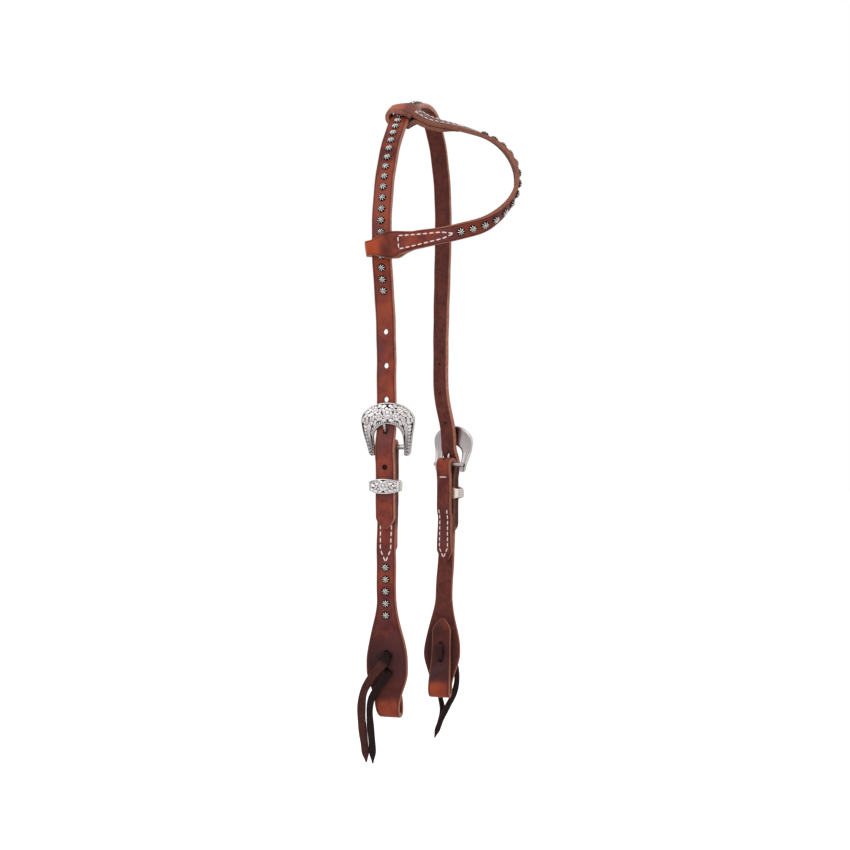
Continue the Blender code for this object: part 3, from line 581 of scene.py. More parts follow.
# A cheek's strap with its two lace holes and the tongue's slot cut through
def makeCheek(side):
    line = cheekLines[side["name"]]
    lowest, highest = line["s"][[int(np.argmin(line["mid"][:, 2])), int(np.argmax(line["mid"][:, 2]))]]
    upper, lower = cheek["laceHoles"]
    laceAt = onSide(side, 0.0, 0.0, (upper + lower) / 2)
    hollowAt = onSide(side, -1.7, 2.0, upper - 4.4)
    behindAt = onSide(side, 0.0, -7.0, (upper + lower) / 2)

    # the painted highlight: the greater of the bit's fold and the bar's
    def bend(s, x, points):
        z = points[..., 2] - side["bar"]
        return np.maximum(bitTone["orange"] * before(z - side["bit"], *bitTone["from"]),
                          bitTone[side["name"] + "Fold"] * after(z, *bitTone["foldFrom"]))

    # the darkest of the wide end, the layers' edges and three spots round the lace, where the
    # layers' edges, the hollow and the spot behind are painted shade
    def shadeAndDarkening(s, x, points):
        z = points[..., 2] - side["bar"]
        start, over = bitTone["from"]
        faded = bitTone["wide"] * before(z - side["bit"], *bitTone["wideTo"])
        wide = np.where(s > lowest, bitTone["wide"], faded)
        wide = wide * after(z - side["bit"], start - over, over)
        # the cut edges take less of it, and the back more than the front
        left = np.interp(s, line["s"], line["half"]) - np.abs(x)
        wide = wide * (1.0 - bitTone["spared"] * (1.0 - after(left, *bitTone["sparedFrom"])))
        ahead = np.clip(points[..., 0] / (cheek["wide"] / 2), -1.0, 1.0)
        wide = wide - bitTone["back"] * ahead * ease(wide / 0.3)
        # painted shade between the layers, and on the near side's lining below the bar
        under = bitTone["under"] * inShade(side, x, points)
        if side is nearSide:
            under = np.where(s < highest, bitTone["lining"] * before(z, *bitTone["liningFrom"]), under)
        near = 1.0 - ease(np.linalg.norm((points - laceAt) * [1.0, 0.3, 0.72], axis=-1) / bitTone["laceReach"])
        # painted shade in the hollow above the upper hole and behind the lace
        hollow = before(np.linalg.norm(points - hollowAt, axis=-1), *bitTone["hollow"])
        behind = before(np.linalg.norm((points - behindAt) * [1.0, 0.6, 0.42], axis=-1), *bitTone["behind"])
        return np.max([wide, under, bitTone["lace"] * near ** 0.8, hollow, behind], axis=0)

    piece = makeStrap(side["name"] + "Cheek", line, strap["cheekThick"], pared["cheek"], bend, shadeAndDarkening)
    cutters = [makePunch(onSide(side, 0.0, -14.0, z), onSide(side, 0.0, 6.0, z), cheek["laceHole"])
               for z in (upper, lower)]
    corners = np.array([[x, n, z] for x in slot["across"] for n in slot["deep"] for z in slot["tall"]])
    quads = np.array([[0, 1, 3, 2], [4, 6, 7, 5], [0, 4, 5, 1], [2, 3, 7, 6], [0, 2, 6, 4], [1, 5, 7, 3]])
    cutters.append(makePiece("slotPunch", heldStill(side, 0.0)(*corners.T), [quads], cutMaps(8, slot["shadeAndDarkening"])))
    return cutWith(piece, cutters)


cheekPieces = {name: makeCheek(side) for name, side in sides.items()}
print("cheeks ready")

# Ear strap, orange with a painted highlight on the two folds, with painted shade in a band
# between each fold and its stitches and along the top, and darker along the front
earTone = {"fold": 3.0, "foldOver": 6.0, "foldMore": (-70.0, 30.0), "band": 0.42, "bandAt": 7.0,
           "bandHalf": 6.5, "top": 0.36, "topFrom": (-80.0, 35.0), "topAhead": (6.0, 8.0), "front": 0.24,
           "frontFrom": (50.0, 40.0)}


# The painted highlight: 1 behind the crown's middle, easing to 0 ahead of it, further ahead at
# the upper fold
def earFoldHighlight(s, x, points):
    fold = earTone["fold"] * (1.0 + after(points[..., 2], *earTone["foldMore"]))
    return before(points[..., 0], fold, earTone["foldOver"])


# The darkest of the band and the top, which are painted shade, and the front
def earShadeAndDarkening(s, x, points):
    ahead = points[..., 0]
    top = after(points[..., 2], *earTone["topFrom"]) * after(ahead, *earTone["topAhead"])
    band = 1.0 - ease(np.abs(ahead - earTone["bandAt"]) / earTone["bandHalf"])
    return np.max([earTone["band"] * band, earTone["top"] * top,
                   earTone["front"] * after(ahead, *earTone["frontFrom"])], axis=0)


earStrap = makeStrap("earStrap", earStations, strap["earThick"], pared["ear"], earFoldHighlight, earShadeAndDarkening)
print("ear strap ready")

thread = {"pitch": 5.1, "share": 0.70, "rise": 0.66, "sink": 0.22, "radius": 0.55, "lift": 0.1, "along": 9,
          "around": 8}


# Stitches along seams on a strap: each a bent sausage that dips into the leather at its ends,
# with its middle raised by a sine and its radius eased in by another
def makeStitches(name, seams):
    f = np.linspace(0.0, 1.0, thread["along"])
    a = 2 * pi * np.arange(thread["around"]) / thread["around"]
    rise = thread["rise"] * np.sin(pi * f) ** 0.55 - thread["sink"]
    thin = thread["radius"] * (0.55 + 0.45 * np.sin(pi * f) ** 0.5)
    blocks = []
    for points, outs, pitch in seams:
        s = lengthAlong(points)
        count = max(1, int(round(s[-1] / pitch)))
        at = (np.arange(count)[:, None] + 0.5 + (f[None, :] - 0.5) * thread["share"]) * s[-1] / count
        outward = unit(readAt(at, s, outs))
        middle = readAt(at, s, points) + outward * rise[None, :, None]
        run = unit(np.gradient(middle, axis=1))
        aside = unit(np.cross(run, outward))
        up = np.cross(aside, run)
        ring = aside[:, :, None] * np.cos(a)[:, None] + 0.8 * up[:, :, None] * np.sin(a)[:, None]
        blocks.append(middle[:, :, None] + ring * thin[None, :, None, None])
    points = np.concatenate(blocks)
    faces = repeated(gridFaces(len(f), len(a)), len(points), len(f) * len(a))
    return makePiece(name, points, faces, {})


# A seam through corners (s, x) on a strap, read every half millimetre
def seamOn(line, s, x, lift, pitch=thread["pitch"]):
    reach = lengthAlong(np.stack([s, x], -1))
    at = np.linspace(0.0, reach[-1], int(reach[-1] / 0.5) + 2)
    points, found = onLine(line, np.interp(at, reach, s), np.interp(at, reach, x), lift)
    return points, found["out"], pitch


# The length along a cheek at a height, on its front layer or its lining
def sOfHeight(line, z, front):
    top = int(np.argmax(line["mid"][:, 2]))
    part = slice(top, int(np.argmin(line["mid"][:, 2]))) if front else slice(0, top)
    way = -1.0 if front else 1.0
    return np.interp(way * z, way * line["mid"][part, 2], line["s"][part])


# The V and the short row across: heights of its top, shoulder and point and of the row, and half
# widths.  The V goes through both layers
cheekSeam = {"off": (-47.0, -84.0, -94.3, -15.0), "near": (-42.3, -79.5, -88.5, -11.9), "half": 4.8, "row": 6.0}
stitchPieces = {}
lift = strap["cheekThick"] / 2 + thread["lift"]
for name, side in sides.items():
    line = cheekLines[name]
    seams = []
    for front in (True, False):
        s = [sOfHeight(line, side["bar"] + z, front) for z in cheekSeam[name][:3]]
        for half in (-cheekSeam["half"], cheekSeam["half"]):
            seams.append(seamOn(line, s, [half, half * 0.92, 0.0], lift))
    s = sOfHeight(line, side["bar"] + cheekSeam[name][3], False)
    row = cheekSeam["row"]
    seams.append(seamOn(line, [s, s], [-row, row], lift, 2 * row))
    stitchPieces[name] = makeStitches(name + "CheekStitches", seams)

# Each ear seam as corners (away from its loop, across), once round
earSeam = [(1.6, 0.0), (1.6, 5.4), (37.5, 2.5), (46.5, 0.0), (37.5, -2.5), (1.6, -5.4), (1.6, 0.0)]
away, across = np.array(earSeam).T
lift = strap["earThick"] / 2 + thread["lift"]
seams = [seamOn(earStations, start + way * away, across, lift) for start, way in zip(earLengths, (1.0, -1.0))]
earStitches = makeStitches("earStitches", seams)
print("stitches ready")


# Star spots: a low dome whose rim and rays stand up and whose hollows are blackened.  The
# height is a dome less a hollow between rays, and the dark map is 1 in the hollows
spot = {"radius": 3.7, "high": 2.5, "rays": 8, "soft": 0.42, "pitch": 9.4, "offRun": 251.5, "nearRun": 229.0,
        "cheekTop": -98.8, "cheekPitch": 9.85, "spin": 2.4, "around": 80, "rings": 12,
        "crownSeat": (0.05, 0.6), "seat": (0.1, 0.1)}


def spotShape(sink):
    around, rings = spot["around"], spot["rings"]
    a = 2 * pi * np.arange(around)[None, :] / around
    t = np.linspace(0.0, 1.0, rings)[1:, None]
    ray = ease(0.5 + (np.cos(spot["rays"] * a) - 0.2 - 0.75 * after(t, 0.2, 0.75)) / spot["soft"])
    hollow = (1.0 - ray) * after(t, 0.10, 0.12)
    high = spot["high"] * (1.0 - t ** 2.3) ** 0.72 * (1.0 - 0.30 * hollow)
    radius = spot["radius"] * t * (1.0 - 0.10 * (1.0 - ray) * after(t, 0.6, 0.4))
    blackened = np.maximum(hollow, after(t, 0.84, 0.1))
    shape = np.stack([radius * np.cos(a), radius * np.sin(a), high], -1)
    foot = shape[-1] * [1.0, 1.0, 0.0] - [0.0, 0.0, sink]
    points = np.concatenate([[[0.0, 0.0, spot["high"]]], shape.reshape(-1, 3), foot])
    dark = np.concatenate([[0.0], blackened.ravel(), np.ones(around)])
    k = np.arange(around)
    fan = np.stack([0 * k, k + 1, (k + 1) % around + 1], -1)
    base = (1 + (rings - 1) * around + k)[::-1][None]
    return points, dark, gridFaces(rings, around, caps=False, start=1) + [fan, base]


# Spots on a strap at lengths s, each turned further than the last.  The dictionary's seats are
# how proud of the face they stand and how far their foot sinks below that
def makeSpots(name, line, s, thick, proud, sink):
    shape, dark, faces = spotShape(sink)
    where, found = onLine(line, np.atleast_1d(s), 0.0, thick / 2 + proud)
    outward = unit(found["out"])
    run = squareTo(outward, found["run"])
    spin = (np.arange(len(where)) * spot["spin"])[:, None]
    across = run * np.cos(spin) + np.cross(outward, run) * np.sin(spin)
    turn = np.stack([across, np.cross(outward, across), outward], 1)
    points = where[:, None] + np.einsum("pk,nkj->npj", shape, turn)
    tone = np.tile(np.stack([0.0 * dark, dark], -1), (len(where), 1))
    return makePiece(name, points, repeated(faces, len(where), len(shape)), {"tone": tone}, turnOut=False)


topAt = crown["s"][int(np.argmax(crown["mid"][:, 2]))]
count = int((spot["offRun"] + spot["nearRun"]) / spot["pitch"]) + 1
crownRun = topAt - spot["offRun"] + spot["pitch"] * np.arange(count)
crownSpots = makeSpots("crownSpots", crown, crownRun, strap["crownThick"], *spot["crownSeat"])
spotPieces = {}
for name, side in sides.items():
    line = cheekLines[name]
    for k in range(5):
        s = sOfHeight(line, side["bar"] + spot["cheekTop"] - spot["cheekPitch"] * k, True)
        piece = makeSpots("%sCheekSpot%d" % (name, k + 1), line, s, strap["cheekThick"], *spot["seat"])
        spotPieces["%s_cheek_spot_%d" % (name, k + 1)] = piece
earRun = np.linspace(earLengths[0] + ear["firstSpot"], earLengths[1] - ear["lastSpot"], ear["spots"])
for k, s in enumerate(earRun):
    piece = makeSpots("earSpot%02d" % (k + 1), earStations, s, strap["earThick"], *spot["seat"])
    spotPieces["ear_spot_%02d" % (k + 1)] = piece
print("spots ready")


# Engraving at (x, z) on the metal, as (height, mask).  The mask reaches a hair further than the
# shape, so that laying one over another leaves a blackened line round it
outlineWide = 0.24


# What was there, less the mask's share of it, plus the new shape's height
def laidOver(motif, shape):
    high, mask = shape
    return motif * (1.0 - mask) + high


# A flower: petals that swell outward, by a cosine round it, parted by seams, round a boss
def flower(x, z, cx, cz, radius, petals, turn=0.0):
    r = np.hypot(x - cx, z - cz) / radius
    lobe = np.abs(np.cos((np.arctan2(z - cz, x - cx) + turn) * petals / 2))
    edge = 0.78 + 0.22 * lobe
    petal = before(r, edge, 0.14) * (0.55 + 0.45 * ease(r / 0.8))
    seam = 1.0 - 0.75 * (1.0 - ease(lobe / 0.3)) * after(r, 0.3, 0.2)
    gap = after(r, 0.30, 0.05) * before(r, 0.46, 0.05)
    return (np.maximum(petal * seam * (1.0 - 0.9 * gap), before(r, 0.30, 0.10)),
            before(r, edge + outlineWide / radius, 0.06))


# A leaf: a pointed oval, (1 - t^2)^0.75 wide, bowed by a sine, with a vein along most of it
def leaf(x, z, cx, cz, length, wide, turn):
    along = (x - cx) * cos(turn) + (z - cz) * sin(turn)
    t = along / length
    aside = np.abs((z - cz) * cos(turn) - (x - cx) * sin(turn) + 0.22 * wide * np.sin(pi * t))
    reach = wide * np.clip(1.0 - t * t, 0.0, 1.0) ** 0.75
    body = before(aside, reach, 0.32 * wide) * (np.abs(t) < 1.0)
    vein = 1.0 - 0.7 * before(aside, 0.16 * wide, 0.1 * wide) * (t < 0.55)
    further = (wide + outlineWide) * np.clip(1.0 - (along / (length + outlineWide)) ** 2, 0.0, 1.0) ** 0.6
    return body * vein, before(aside, further, 0.12)


# A frame lies between two unlike arches, x = half sin a - drawn t - flick ease(t) and
# z = base + rise cos(a)^power - legs t, where a runs over the bow and t down the legs
arches = [{"half": 12.6, "drawn": 0.1, "flick": 0.0, "base": 7.8, "rise": 11.0, "power": 1.0, "legs": 15.2},
          {"half": 23.3, "drawn": 5.6, "flick": 0.4, "base": 22.4, "rise": 14.4, "power": 1.12, "legs": 29.4}]
plate = {"thick": 2.6, "bow": 0.55, "smoothed": (22, 14), "endRound": 1.7, "soft": 0.85, "level": 3.95,
         "lean": 4.5, "leanFrom": (15.0, 20.0), "crowned": 0.55, "along": 461, "front": 61, "back": 11}


# Both edges from the back leg (-1) to the front one (1), smoothed by a moving average, twice, on
# an edge carried straight on beyond its ends
def frameEdges(u):
    v = np.abs(u)
    a = pi / 2 * np.minimum(v, plate["bow"]) / plate["bow"]
    t = np.clip((v - plate["bow"]) / (1.0 - plate["bow"]), 0.0, 1.0)
    edges = []
    for one in arches:
        x = one["half"] * np.sin(a) - one["drawn"] * t - one["flick"] * ease(t)
        z = one["base"] + one["rise"] * np.maximum(np.cos(a), 0.0) ** one["power"] - one["legs"] * t
        edge = np.stack([np.where(u >= 0, x, -x), z], -1)
        for reach in plate["smoothed"]:
            more = np.arange(1, reach + 1)[:, None]
            longer = np.concatenate([edge[:1] + (edge[:1] - edge[1:2]) * more[::-1], edge,
                                     edge[-1:] + (edge[-1:] - edge[-2:-1]) * more])
            total = np.cumsum(np.vstack([np.zeros((1, 2)), longer]), axis=0)
            edge = (total[2 * reach + 1:] - total[:-2 * reach - 1]) / (2 * reach + 1)
        edges.append(edge)
    return edges


# Leaves and flowers of the frame's front half as (x, z, length, width, turn), mirrored on the
# back half and laid in this order, after leaves in pairs down each leg and a row by the window
frameLeaves = [(20.9, 22.4, 2.9, 1.3, -1.45), (1.5, 23.2, 1.9, 1.0, 0.35), (3.6, 24.6, 2.2, 1.2, 0.9),
               (3.9, 30.9, 2.2, 1.2, -0.8), (13.9, 21.0, 3.9, 1.5, -1.5), (10.6, 20.0, 3.0, 1.3, -0.9),
               (17.6, 21.6, 3.6, 1.4, -1.25), (18.3, 25.6, 3.4, 1.4, -0.55), (16.9, 28.6, 3.6, 1.4, -0.15),
               (14.6, 30.6, 3.5, 1.4, 0.45), (13.7, 26.4, 3.9, 1.5, -0.35), (12.2, 23.2, 3.2, 1.3, -1.0),
               (3.2, 21.6, 2.8, 1.2, 0.25), (3.4, 32.9, 3.0, 1.4, -0.3), (6.3, 29.4, 2.6, 1.3, -0.9),
               (6.7, 33.4, 2.4, 1.1, -0.4)]
frameFlowers = [(10.6, 30.2, 3.2, 5, 0.5), (7.3, 24.6, 3.8, 6, 0.2)]
topFlower = (0.0, 27.8, 4.7, 6, 0.3)
legLeaves = {"count": 12, "end": 50.0, "pitch": 2.7, "at": [16.0, 24.0, 34.0, 50.0],
             "wide": [5.8, 5.4, 4.2, 2.4]}
windowLeaves = {"count": 9, "from": 4.6, "pitch": 2.3, "in": 2.15, "size": (1.7, 0.8, -0.7)}

# Depths of the sunk field and of what stands up in it, and the rope round it, where pairs are
# (from, over) in millimetres from the edge
frameCut = {"field": (1.25, 0.2), "sunk": 0.26, "proud": 0.10, "ropeIn": (0.35, 0.2), "ropeOut": (1.1, 0.12),
            "ropeHigh": 0.14, "ropePitch": 0.9, "groove": (1.0, 0.1), "grooveEnd": (1.45, 0.15),
            "grooveDark": 0.8, "ropeDark": 0.6, "edgeDark": 0.42, "edgeFrom": (0.5, 0.4),
            "legDark": 0.30, "legFrom": (24.0, 10.0)}


# Height and dark at each point: the field is sunk where no motif lies, the rope is a cosine
# along the rim, and dark gathers in the field, the groove, the rope, the edge and the legs
def frameRelief(x, z, arcLength, aside, width):
    rim = np.abs(width / 2 - np.abs(aside))
    away = np.abs(arcLength)
    motif = 0.0 * x
    for k in range(legLeaves["count"]):
        at = legLeaves["end"] - legLeaves["pitch"] * k
        wide = np.interp(at, legLeaves["at"], legLeaves["wide"])
        for way in (-1.0, 1.0):
            spec = (at + 0.7 * way, way * wide * 0.40, wide * 0.60, wide * 0.27, way)
            motif = laidOver(motif, leaf(away, aside, *spec))
    for k in range(windowLeaves["count"]):
        at = windowLeaves["from"] + windowLeaves["pitch"] * k
        motif = laidOver(motif, leaf(away, aside, at, windowLeaves["in"] - width / 2, *windowLeaves["size"]))
    for spec in frameLeaves:
        motif = laidOver(motif, leaf(np.abs(x), z, *spec))
    for spec in frameFlowers:
        motif = laidOver(motif, flower(np.abs(x), z, *spec))
    motif = laidOver(motif, flower(x, z, *topFlower))
    field = after(rim, *frameCut["field"])
    raised = after(rim, *frameCut["ropeIn"]) * before(rim, *frameCut["ropeOut"])
    rope = 0.75 + 0.25 * np.cos(arcLength * 2 * pi / frameCut["ropePitch"] + aside * 3.0)
    high = raised * rope * frameCut["ropeHigh"] - frameCut["sunk"] * field * (1.0 - motif)
    groove = after(rim, *frameCut["groove"]) * before(rim, *frameCut["grooveEnd"])
    dark = np.max([field * (1.0 - ease(motif / 0.5)), frameCut["grooveDark"] * groove,
                   frameCut["ropeDark"] * (1.0 - rope) * raised,
                   frameCut["edgeDark"] * before(rim, *frameCut["edgeFrom"]),
                   frameCut["legDark"] * after(away, *frameCut["legFrom"]) + 0.0 * x], axis=0)
    return high + frameCut["proud"] * motif * field, dark


# A frame: rings once round its section, across the front and back again behind, at stations
# along its bow.  Its legs' ends are round, and its level leans in towards them
def makeFrame(side):
    inner, outer = frameEdges(np.linspace(-1.0, 1.0, plate["along"]))
    middle = (inner + outer) / 2
    arcLength = lengthAlong(middle)
    fromEnd = np.minimum(arcLength, arcLength[-1] - arcLength)
    arcLength = np.repeat((arcLength - arcLength[-1] / 2)[:, None], plate["front"] + plate["back"], 1)
    shrink = roundOff(fromEnd / plate["endRound"])[:, None] * 0.98 + 0.02
    width = np.linalg.norm(outer - inner, axis=1)[:, None] * shrink
    inner, outer = (middle + (edge - middle) * shrink for edge in (inner, outer))
    even = np.linspace(0.0, 1.0, plate["front"])
    across = np.concatenate([0.35 * (0.5 - 0.5 * np.cos(pi * even)) + 0.65 * even,
                             np.linspace(1.0, 0.0, plate["back"])])
    front = np.arange(len(across)) < plate["front"]
    x, z = (inner[:, i:i + 1] + (outer - inner)[:, i:i + 1] * across for i in (0, 1))
    aside = (across - 0.5) * width
    fall = plate["soft"] * (1.0 - roundOff((width / 2 - np.abs(aside)) / plate["soft"]))
    level = plate["level"] - plate["lean"] * before(z, *plate["leanFrom"])
    level = level + plate["crowned"] * (1.0 - (2 * across - 1.0) ** 2)
    high, dark = frameRelief(x, z, arcLength, aside, width)
    n = level + np.where(front, plate["thick"] / 2 - fall + high, -plate["thick"] / 2 + 0.35 * fall)
    points = heldStill(side, 0.0)(x + buckle["slip"], n, z)
    maps = {"tone": np.stack([1.0 - front + 0.0 * x, np.where(front, dark, 0.0)], -1)}
    return makePiece(side["name"] + "BuckleFrame", points, gridFaces(plate["along"], len(across)), maps)


# A round or oval bar: ellipses of half sizes wide and thick, square to a path of points
def makeRod(name, path, wide, thick, upHint, around):
    run = unit(np.gradient(path, axis=0))
    side = unit(np.cross(run, np.broadcast_to(upHint, path.shape)))
    up = np.cross(side, run)
    a = 2 * pi * np.arange(around) / around
    ring = side[:, None] * (np.cos(a) * wide[:, None])[..., None]
    ring = ring + up[:, None] * (np.sin(a) * thick[:, None])[..., None]
    maps = {"tone": np.zeros((len(path) * around, 2))}
    return makePiece(name, path[:, None] + ring, gridFaces(len(path), around), maps)


# A buckle's bar, its ends softened by a quarter circle
def makeBar(side):
    middle = heldStill(side, 0.0)(buckle["slip"], buckle["barLevel"], 0.0)
    half, soft = buckle["barLength"] / 2, buckle["barSoft"]
    along = np.sin(np.linspace(-1.0, 1.0, 49) * pi / 2) * half
    radius = buckle["barRadius"] - soft * (1.0 - roundOff((half - np.abs(along)) / soft))
    path = middle + facing(side, 0.0)[0] * along[:, None]
    return makeRod(side["name"] + "BuckleBar", path, radius, radius, upward, 32)


# The tongue: one wire, flat where it wraps the bar and round where it goes out to the frame,
# along an arc and then through keys of (outward, up)
tongue = {"wrap": 3.15, "eye": (-215.0, 52.0), "half": 1.15, "wider": 0.5, "thinner": 0.42, "flatEnd": 3.0,
          "flatOver": 5.0, "tipRound": 1.1}
tongueKeys = [(-0.9, 4.6), (-0.1, 8.6), (1.9, 11.4), (4.3, 14.2), (6.2, 16.6), (6.75, 18.9)]


def makeTongue(side):
    a = np.radians(np.linspace(*tongue["eye"], 40))
    eye = np.stack([buckle["barLevel"] + tongue["wrap"] * np.cos(a), tongue["wrap"] * np.sin(a)], -1)
    route = np.concatenate([eye, keyCurve(tongueKeys, 8)])
    s = lengthAlong(route)
    at = np.linspace(0.0, s[-1], 110)
    flat = before(at, s[len(eye)] + tongue["flatEnd"], tongue["flatOver"])
    soft = roundOff((s[-1] - at) / tongue["tipRound"]) * 0.96 + 0.04
    path = heldStill(side, 0.0)(0.0, *through(s, route, at).T)
    upHint = unit(np.cross(unit(np.gradient(path, axis=0)), facing(side, 0.0)[0]))
    return makeRod(side["name"] + "BuckleTongue", path, (tongue["half"] + tongue["wider"] * flat) * soft,
                   (tongue["half"] - tongue["thinner"] * flat) * soft, upHint, 20)


# The keeper: a ring of sheet metal, bowed and engraved in front, plain at its sides and back
keeper = {"tall": 12.4, "wall": 1.3, "half": 12.4, "front": 6.15, "bow": 1.5, "back": -4.1, "corner": 1.5,
          "fall": 0.34, "soft": 0.45, "around": 300, "outside": 53, "inside": 9, "sideDark": 0.3}


# Once round it, at even steps: the front bow (a parabola), then four quarter-round corners
def keeperOutline():
    soft, reach = keeper["corner"], keeper["half"] - keeper["corner"]
    front, back = keeper["front"] - soft, keeper["back"] + soft
    t = np.linspace(-1.0, 1.0, 81)
    quarter = np.linspace(0.0, pi / 2, 12)
    rows = []
    for k, (x, n) in enumerate(((reach, front), (reach, back), (-reach, back), (-reach, front))):
        a = quarter + k * pi / 2
        rows.append(np.stack([x + soft * np.sin(a), n + soft * np.cos(a)], -1))
    bow = np.stack([reach * t, keeper["front"] + keeper["bow"] * (1.0 - t ** 2)], -1)
    closed = np.concatenate([bow, np.concatenate(rows)[1:-1], bow[:1]])
    s = lengthAlong(closed)
    return readAt(np.linspace(0.0, s[-1], keeper["around"] + 1)[:-1], s, closed)


keeperLeaves = [(4.5, -2.8, 2.0, 1.1, -0.6), (4.2, 3.1, 2.0, 1.1, 0.6), (11.0, 0.2, 2.0, 1.1, 1.4),
                (9.2, 3.0, 2.4, 1.1, -0.45), (9.4, -2.8, 2.3, 1.1, 0.4), (8.9, 0.4, 2.5, 1.25, 0.5),
                (6.9, 3.9, 2.4, 1.1, -0.25), (6.6, -3.9, 2.5, 1.1, 0.3), (3.4, 4.6, 2.2, 1.0, 0.2),
                (3.0, -4.6, 2.2, 1.0, -0.2), (6.6, -1.2, 2.2, 1.1, -0.5), (5.6, 1.8, 2.4, 1.2, 0.6)]
keeperFlower = (0.0, 0.1, 4.6, 6)
keeperCut = {"field": (0.95, 0.18), "sunk": 0.24, "proud": 0.08, "rimHigh": 0.10, "rimIn": (0.2, 0.15),
             "rimOut": (0.85, 0.12), "groove": (0.75, 0.1), "grooveEnd": (1.2, 0.15), "grooveDark": 0.75,
             "edgeDark": 0.45, "edgeFrom": (0.3, 0.3), "sideRim": 0.4}


# Height and dark, as on a frame, with a plain raised rim
def keeperRelief(x, z, high):
    rim = np.minimum(high - np.abs(z), keeper["half"] - keeperCut["sideRim"] - np.abs(x))
    motif = 0.0 * x
    for spec in keeperLeaves:
        motif = laidOver(motif, leaf(np.abs(x), z, *spec))
    motif = laidOver(motif, flower(x, z, *keeperFlower))
    field = after(rim, *keeperCut["field"])
    relief = keeperCut["rimHigh"] * after(rim, *keeperCut["rimIn"]) * before(rim, *keeperCut["rimOut"])
    relief = relief + field * (keeperCut["proud"] * motif - keeperCut["sunk"] * (1.0 - motif))
    groove = after(rim, *keeperCut["groove"]) * before(rim, *keeperCut["grooveEnd"])
    return relief, np.max([field * (1.0 - ease(motif / 0.5)), keeperCut["grooveDark"] * groove,
                           keeperCut["edgeDark"] * before(rim, *keeperCut["edgeFrom"])], axis=0)


# Rings over its wall at stations round it.  It is like a barrel, lower towards its sides: half
# its height is tall / 2 (1 - fall |x / half|^2.2)
def makeKeeper(side):
    outline = keeperOutline()
    run = unit(np.roll(outline, -1, 0) - np.roll(outline, 1, 0))
    outward = np.stack([-run[:, 1], run[:, 0]], -1)
    high = keeper["tall"] / 2 * (1.0 - keeper["fall"] * np.abs(outline[:, :1] / keeper["half"]) ** 2.2)
    share = np.concatenate([np.linspace(-1.0, 1.0, keeper["outside"]),
                            np.linspace(1.0, -1.0, keeper["inside"])])
    front = np.arange(len(share)) < keeper["outside"]
    z = high * share
    x = np.broadcast_to(outline[:, :1], z.shape)
    isFace = (outline[:, 1] > keeper["front"] - keeper["corner"] * 0.9)[:, None] & front
    isSide = (np.abs(outline[:, :1]) > keeper["half"] - 0.3) & front
    relief, dark = keeperRelief(x, z, high)
    dark = np.where(isFace, dark, np.where(isSide, keeper["sideDark"], 0.0))
    fall = keeper["soft"] * (1.0 - roundOff((high - np.abs(z)) / keeper["soft"]))
    relief = np.where(isFace, relief, 0.0)
    shift = np.where(front, keeper["wall"] / 2 - fall + relief, fall - keeper["wall"] / 2)
    flat = outline[:, None] + outward[:, None] * shift[..., None]
    points = heldStill(side, side["keeper"])(flat[..., 0] + side["drift"] / 2, flat[..., 1], side["keeper"] + z)
    tone = np.stack([np.where(isFace, 0.0, 0.5), dark], -1)
    points, tone = (np.concatenate([grid, grid[:1]]) for grid in (points, tone))
    faces = gridFaces(len(points), len(share), caps=False)
    return makePiece(side["name"] + "Keeper", points, faces, {"tone": tone}, merge=True)


metalPieces = {}
for name, side in sides.items():
    metalPieces[name + "_buckle_frame"] = makeFrame(side)
    metalPieces[name + "_buckle_bar"] = makeBar(side)
    metalPieces[name + "_buckle_tongue"] = makeTongue(side)
    metalPieces[name + "_keeper"] = makeKeeper(side)
print("buckles and keepers ready")


# Laces: limp flat thongs.  Routes in (x, n, z) on their side, the same points as the part's
lace = {"thick": 2.1, "run": 4.4, "runThick": 3.2, "point": 11.0, "start": 9.0, "dim": 5.0, "offDark": 1.0,
        "nearDark": 0.65, "cup": 0.35, "around": 24, "along": 120}
tieRoutes = {
    "off_tie_tail_1": [(3.2, 3.7, -171.5), (-2.2, 4.2, -178.0), (-8.4, 4.6, -185.0), (-14.2, 5.2, -193.0),
                       (-18.4, 5.6, -201.5), (-20.2, 5.8, -211.0), (-20.4, 5.8, -222.3), (-19.2, 5.8, -234.7),
                       (-17.5, 6.2, -246.2), (-15.6, 7.8, -258.6)],
    "off_tie_tail_2": [(3.6, 3.7, -185.6), (-2.2, 4.0, -192.2), (-7.6, 4.4, -198.6), (-11.6, 4.8, -205.6),
                       (-13.4, 5.0, -213.4), (-13.5, 5.2, -222.3), (-12.4, 5.2, -234.7), (-11.2, 5.2, -247.1),
                       (-10.8, 5.2, -260.0)],
    "near_tie_tail_1": [(-2.0, 3.7, -169.0), (4.8, 4.0, -177.0), (10.4, 4.4, -186.0), (13.2, 4.6, -196.5),
                        (13.3, 4.8, -207.0), (10.4, 4.8, -218.0), (5.0, 4.6, -228.5), (-0.2, 4.4, -239.0),
                        (-4.4, 4.4, -249.5), (-7.7, 4.4, -259.0)],
    "near_tie_tail_2": [(-3.0, 3.7, -183.0), (-5.4, 5.6, -192.5), (-6.0, 8.5, -202.5), (-5.2, 10.5, -212.0),
                        (-3.8, 11.0, -222.0), (-1.8, 11.0, -233.0), (-4.0, 11.0, -244.0), (-8.0, 11.0, -256.0)]}
# how far each tail is twisted at its start and end, how wide it is and how dark
tailLook = {"off_tie_tail_1": (0.05, 0.30, 6.8, 0.0), "off_tie_tail_2": (0.35, 0.75, 5.8, 0.95),
            "near_tie_tail_1": (0.2, 0.6, 5.4, 0.9), "near_tie_tail_2": (0.3, 0.8, 5.0, 0.9)}


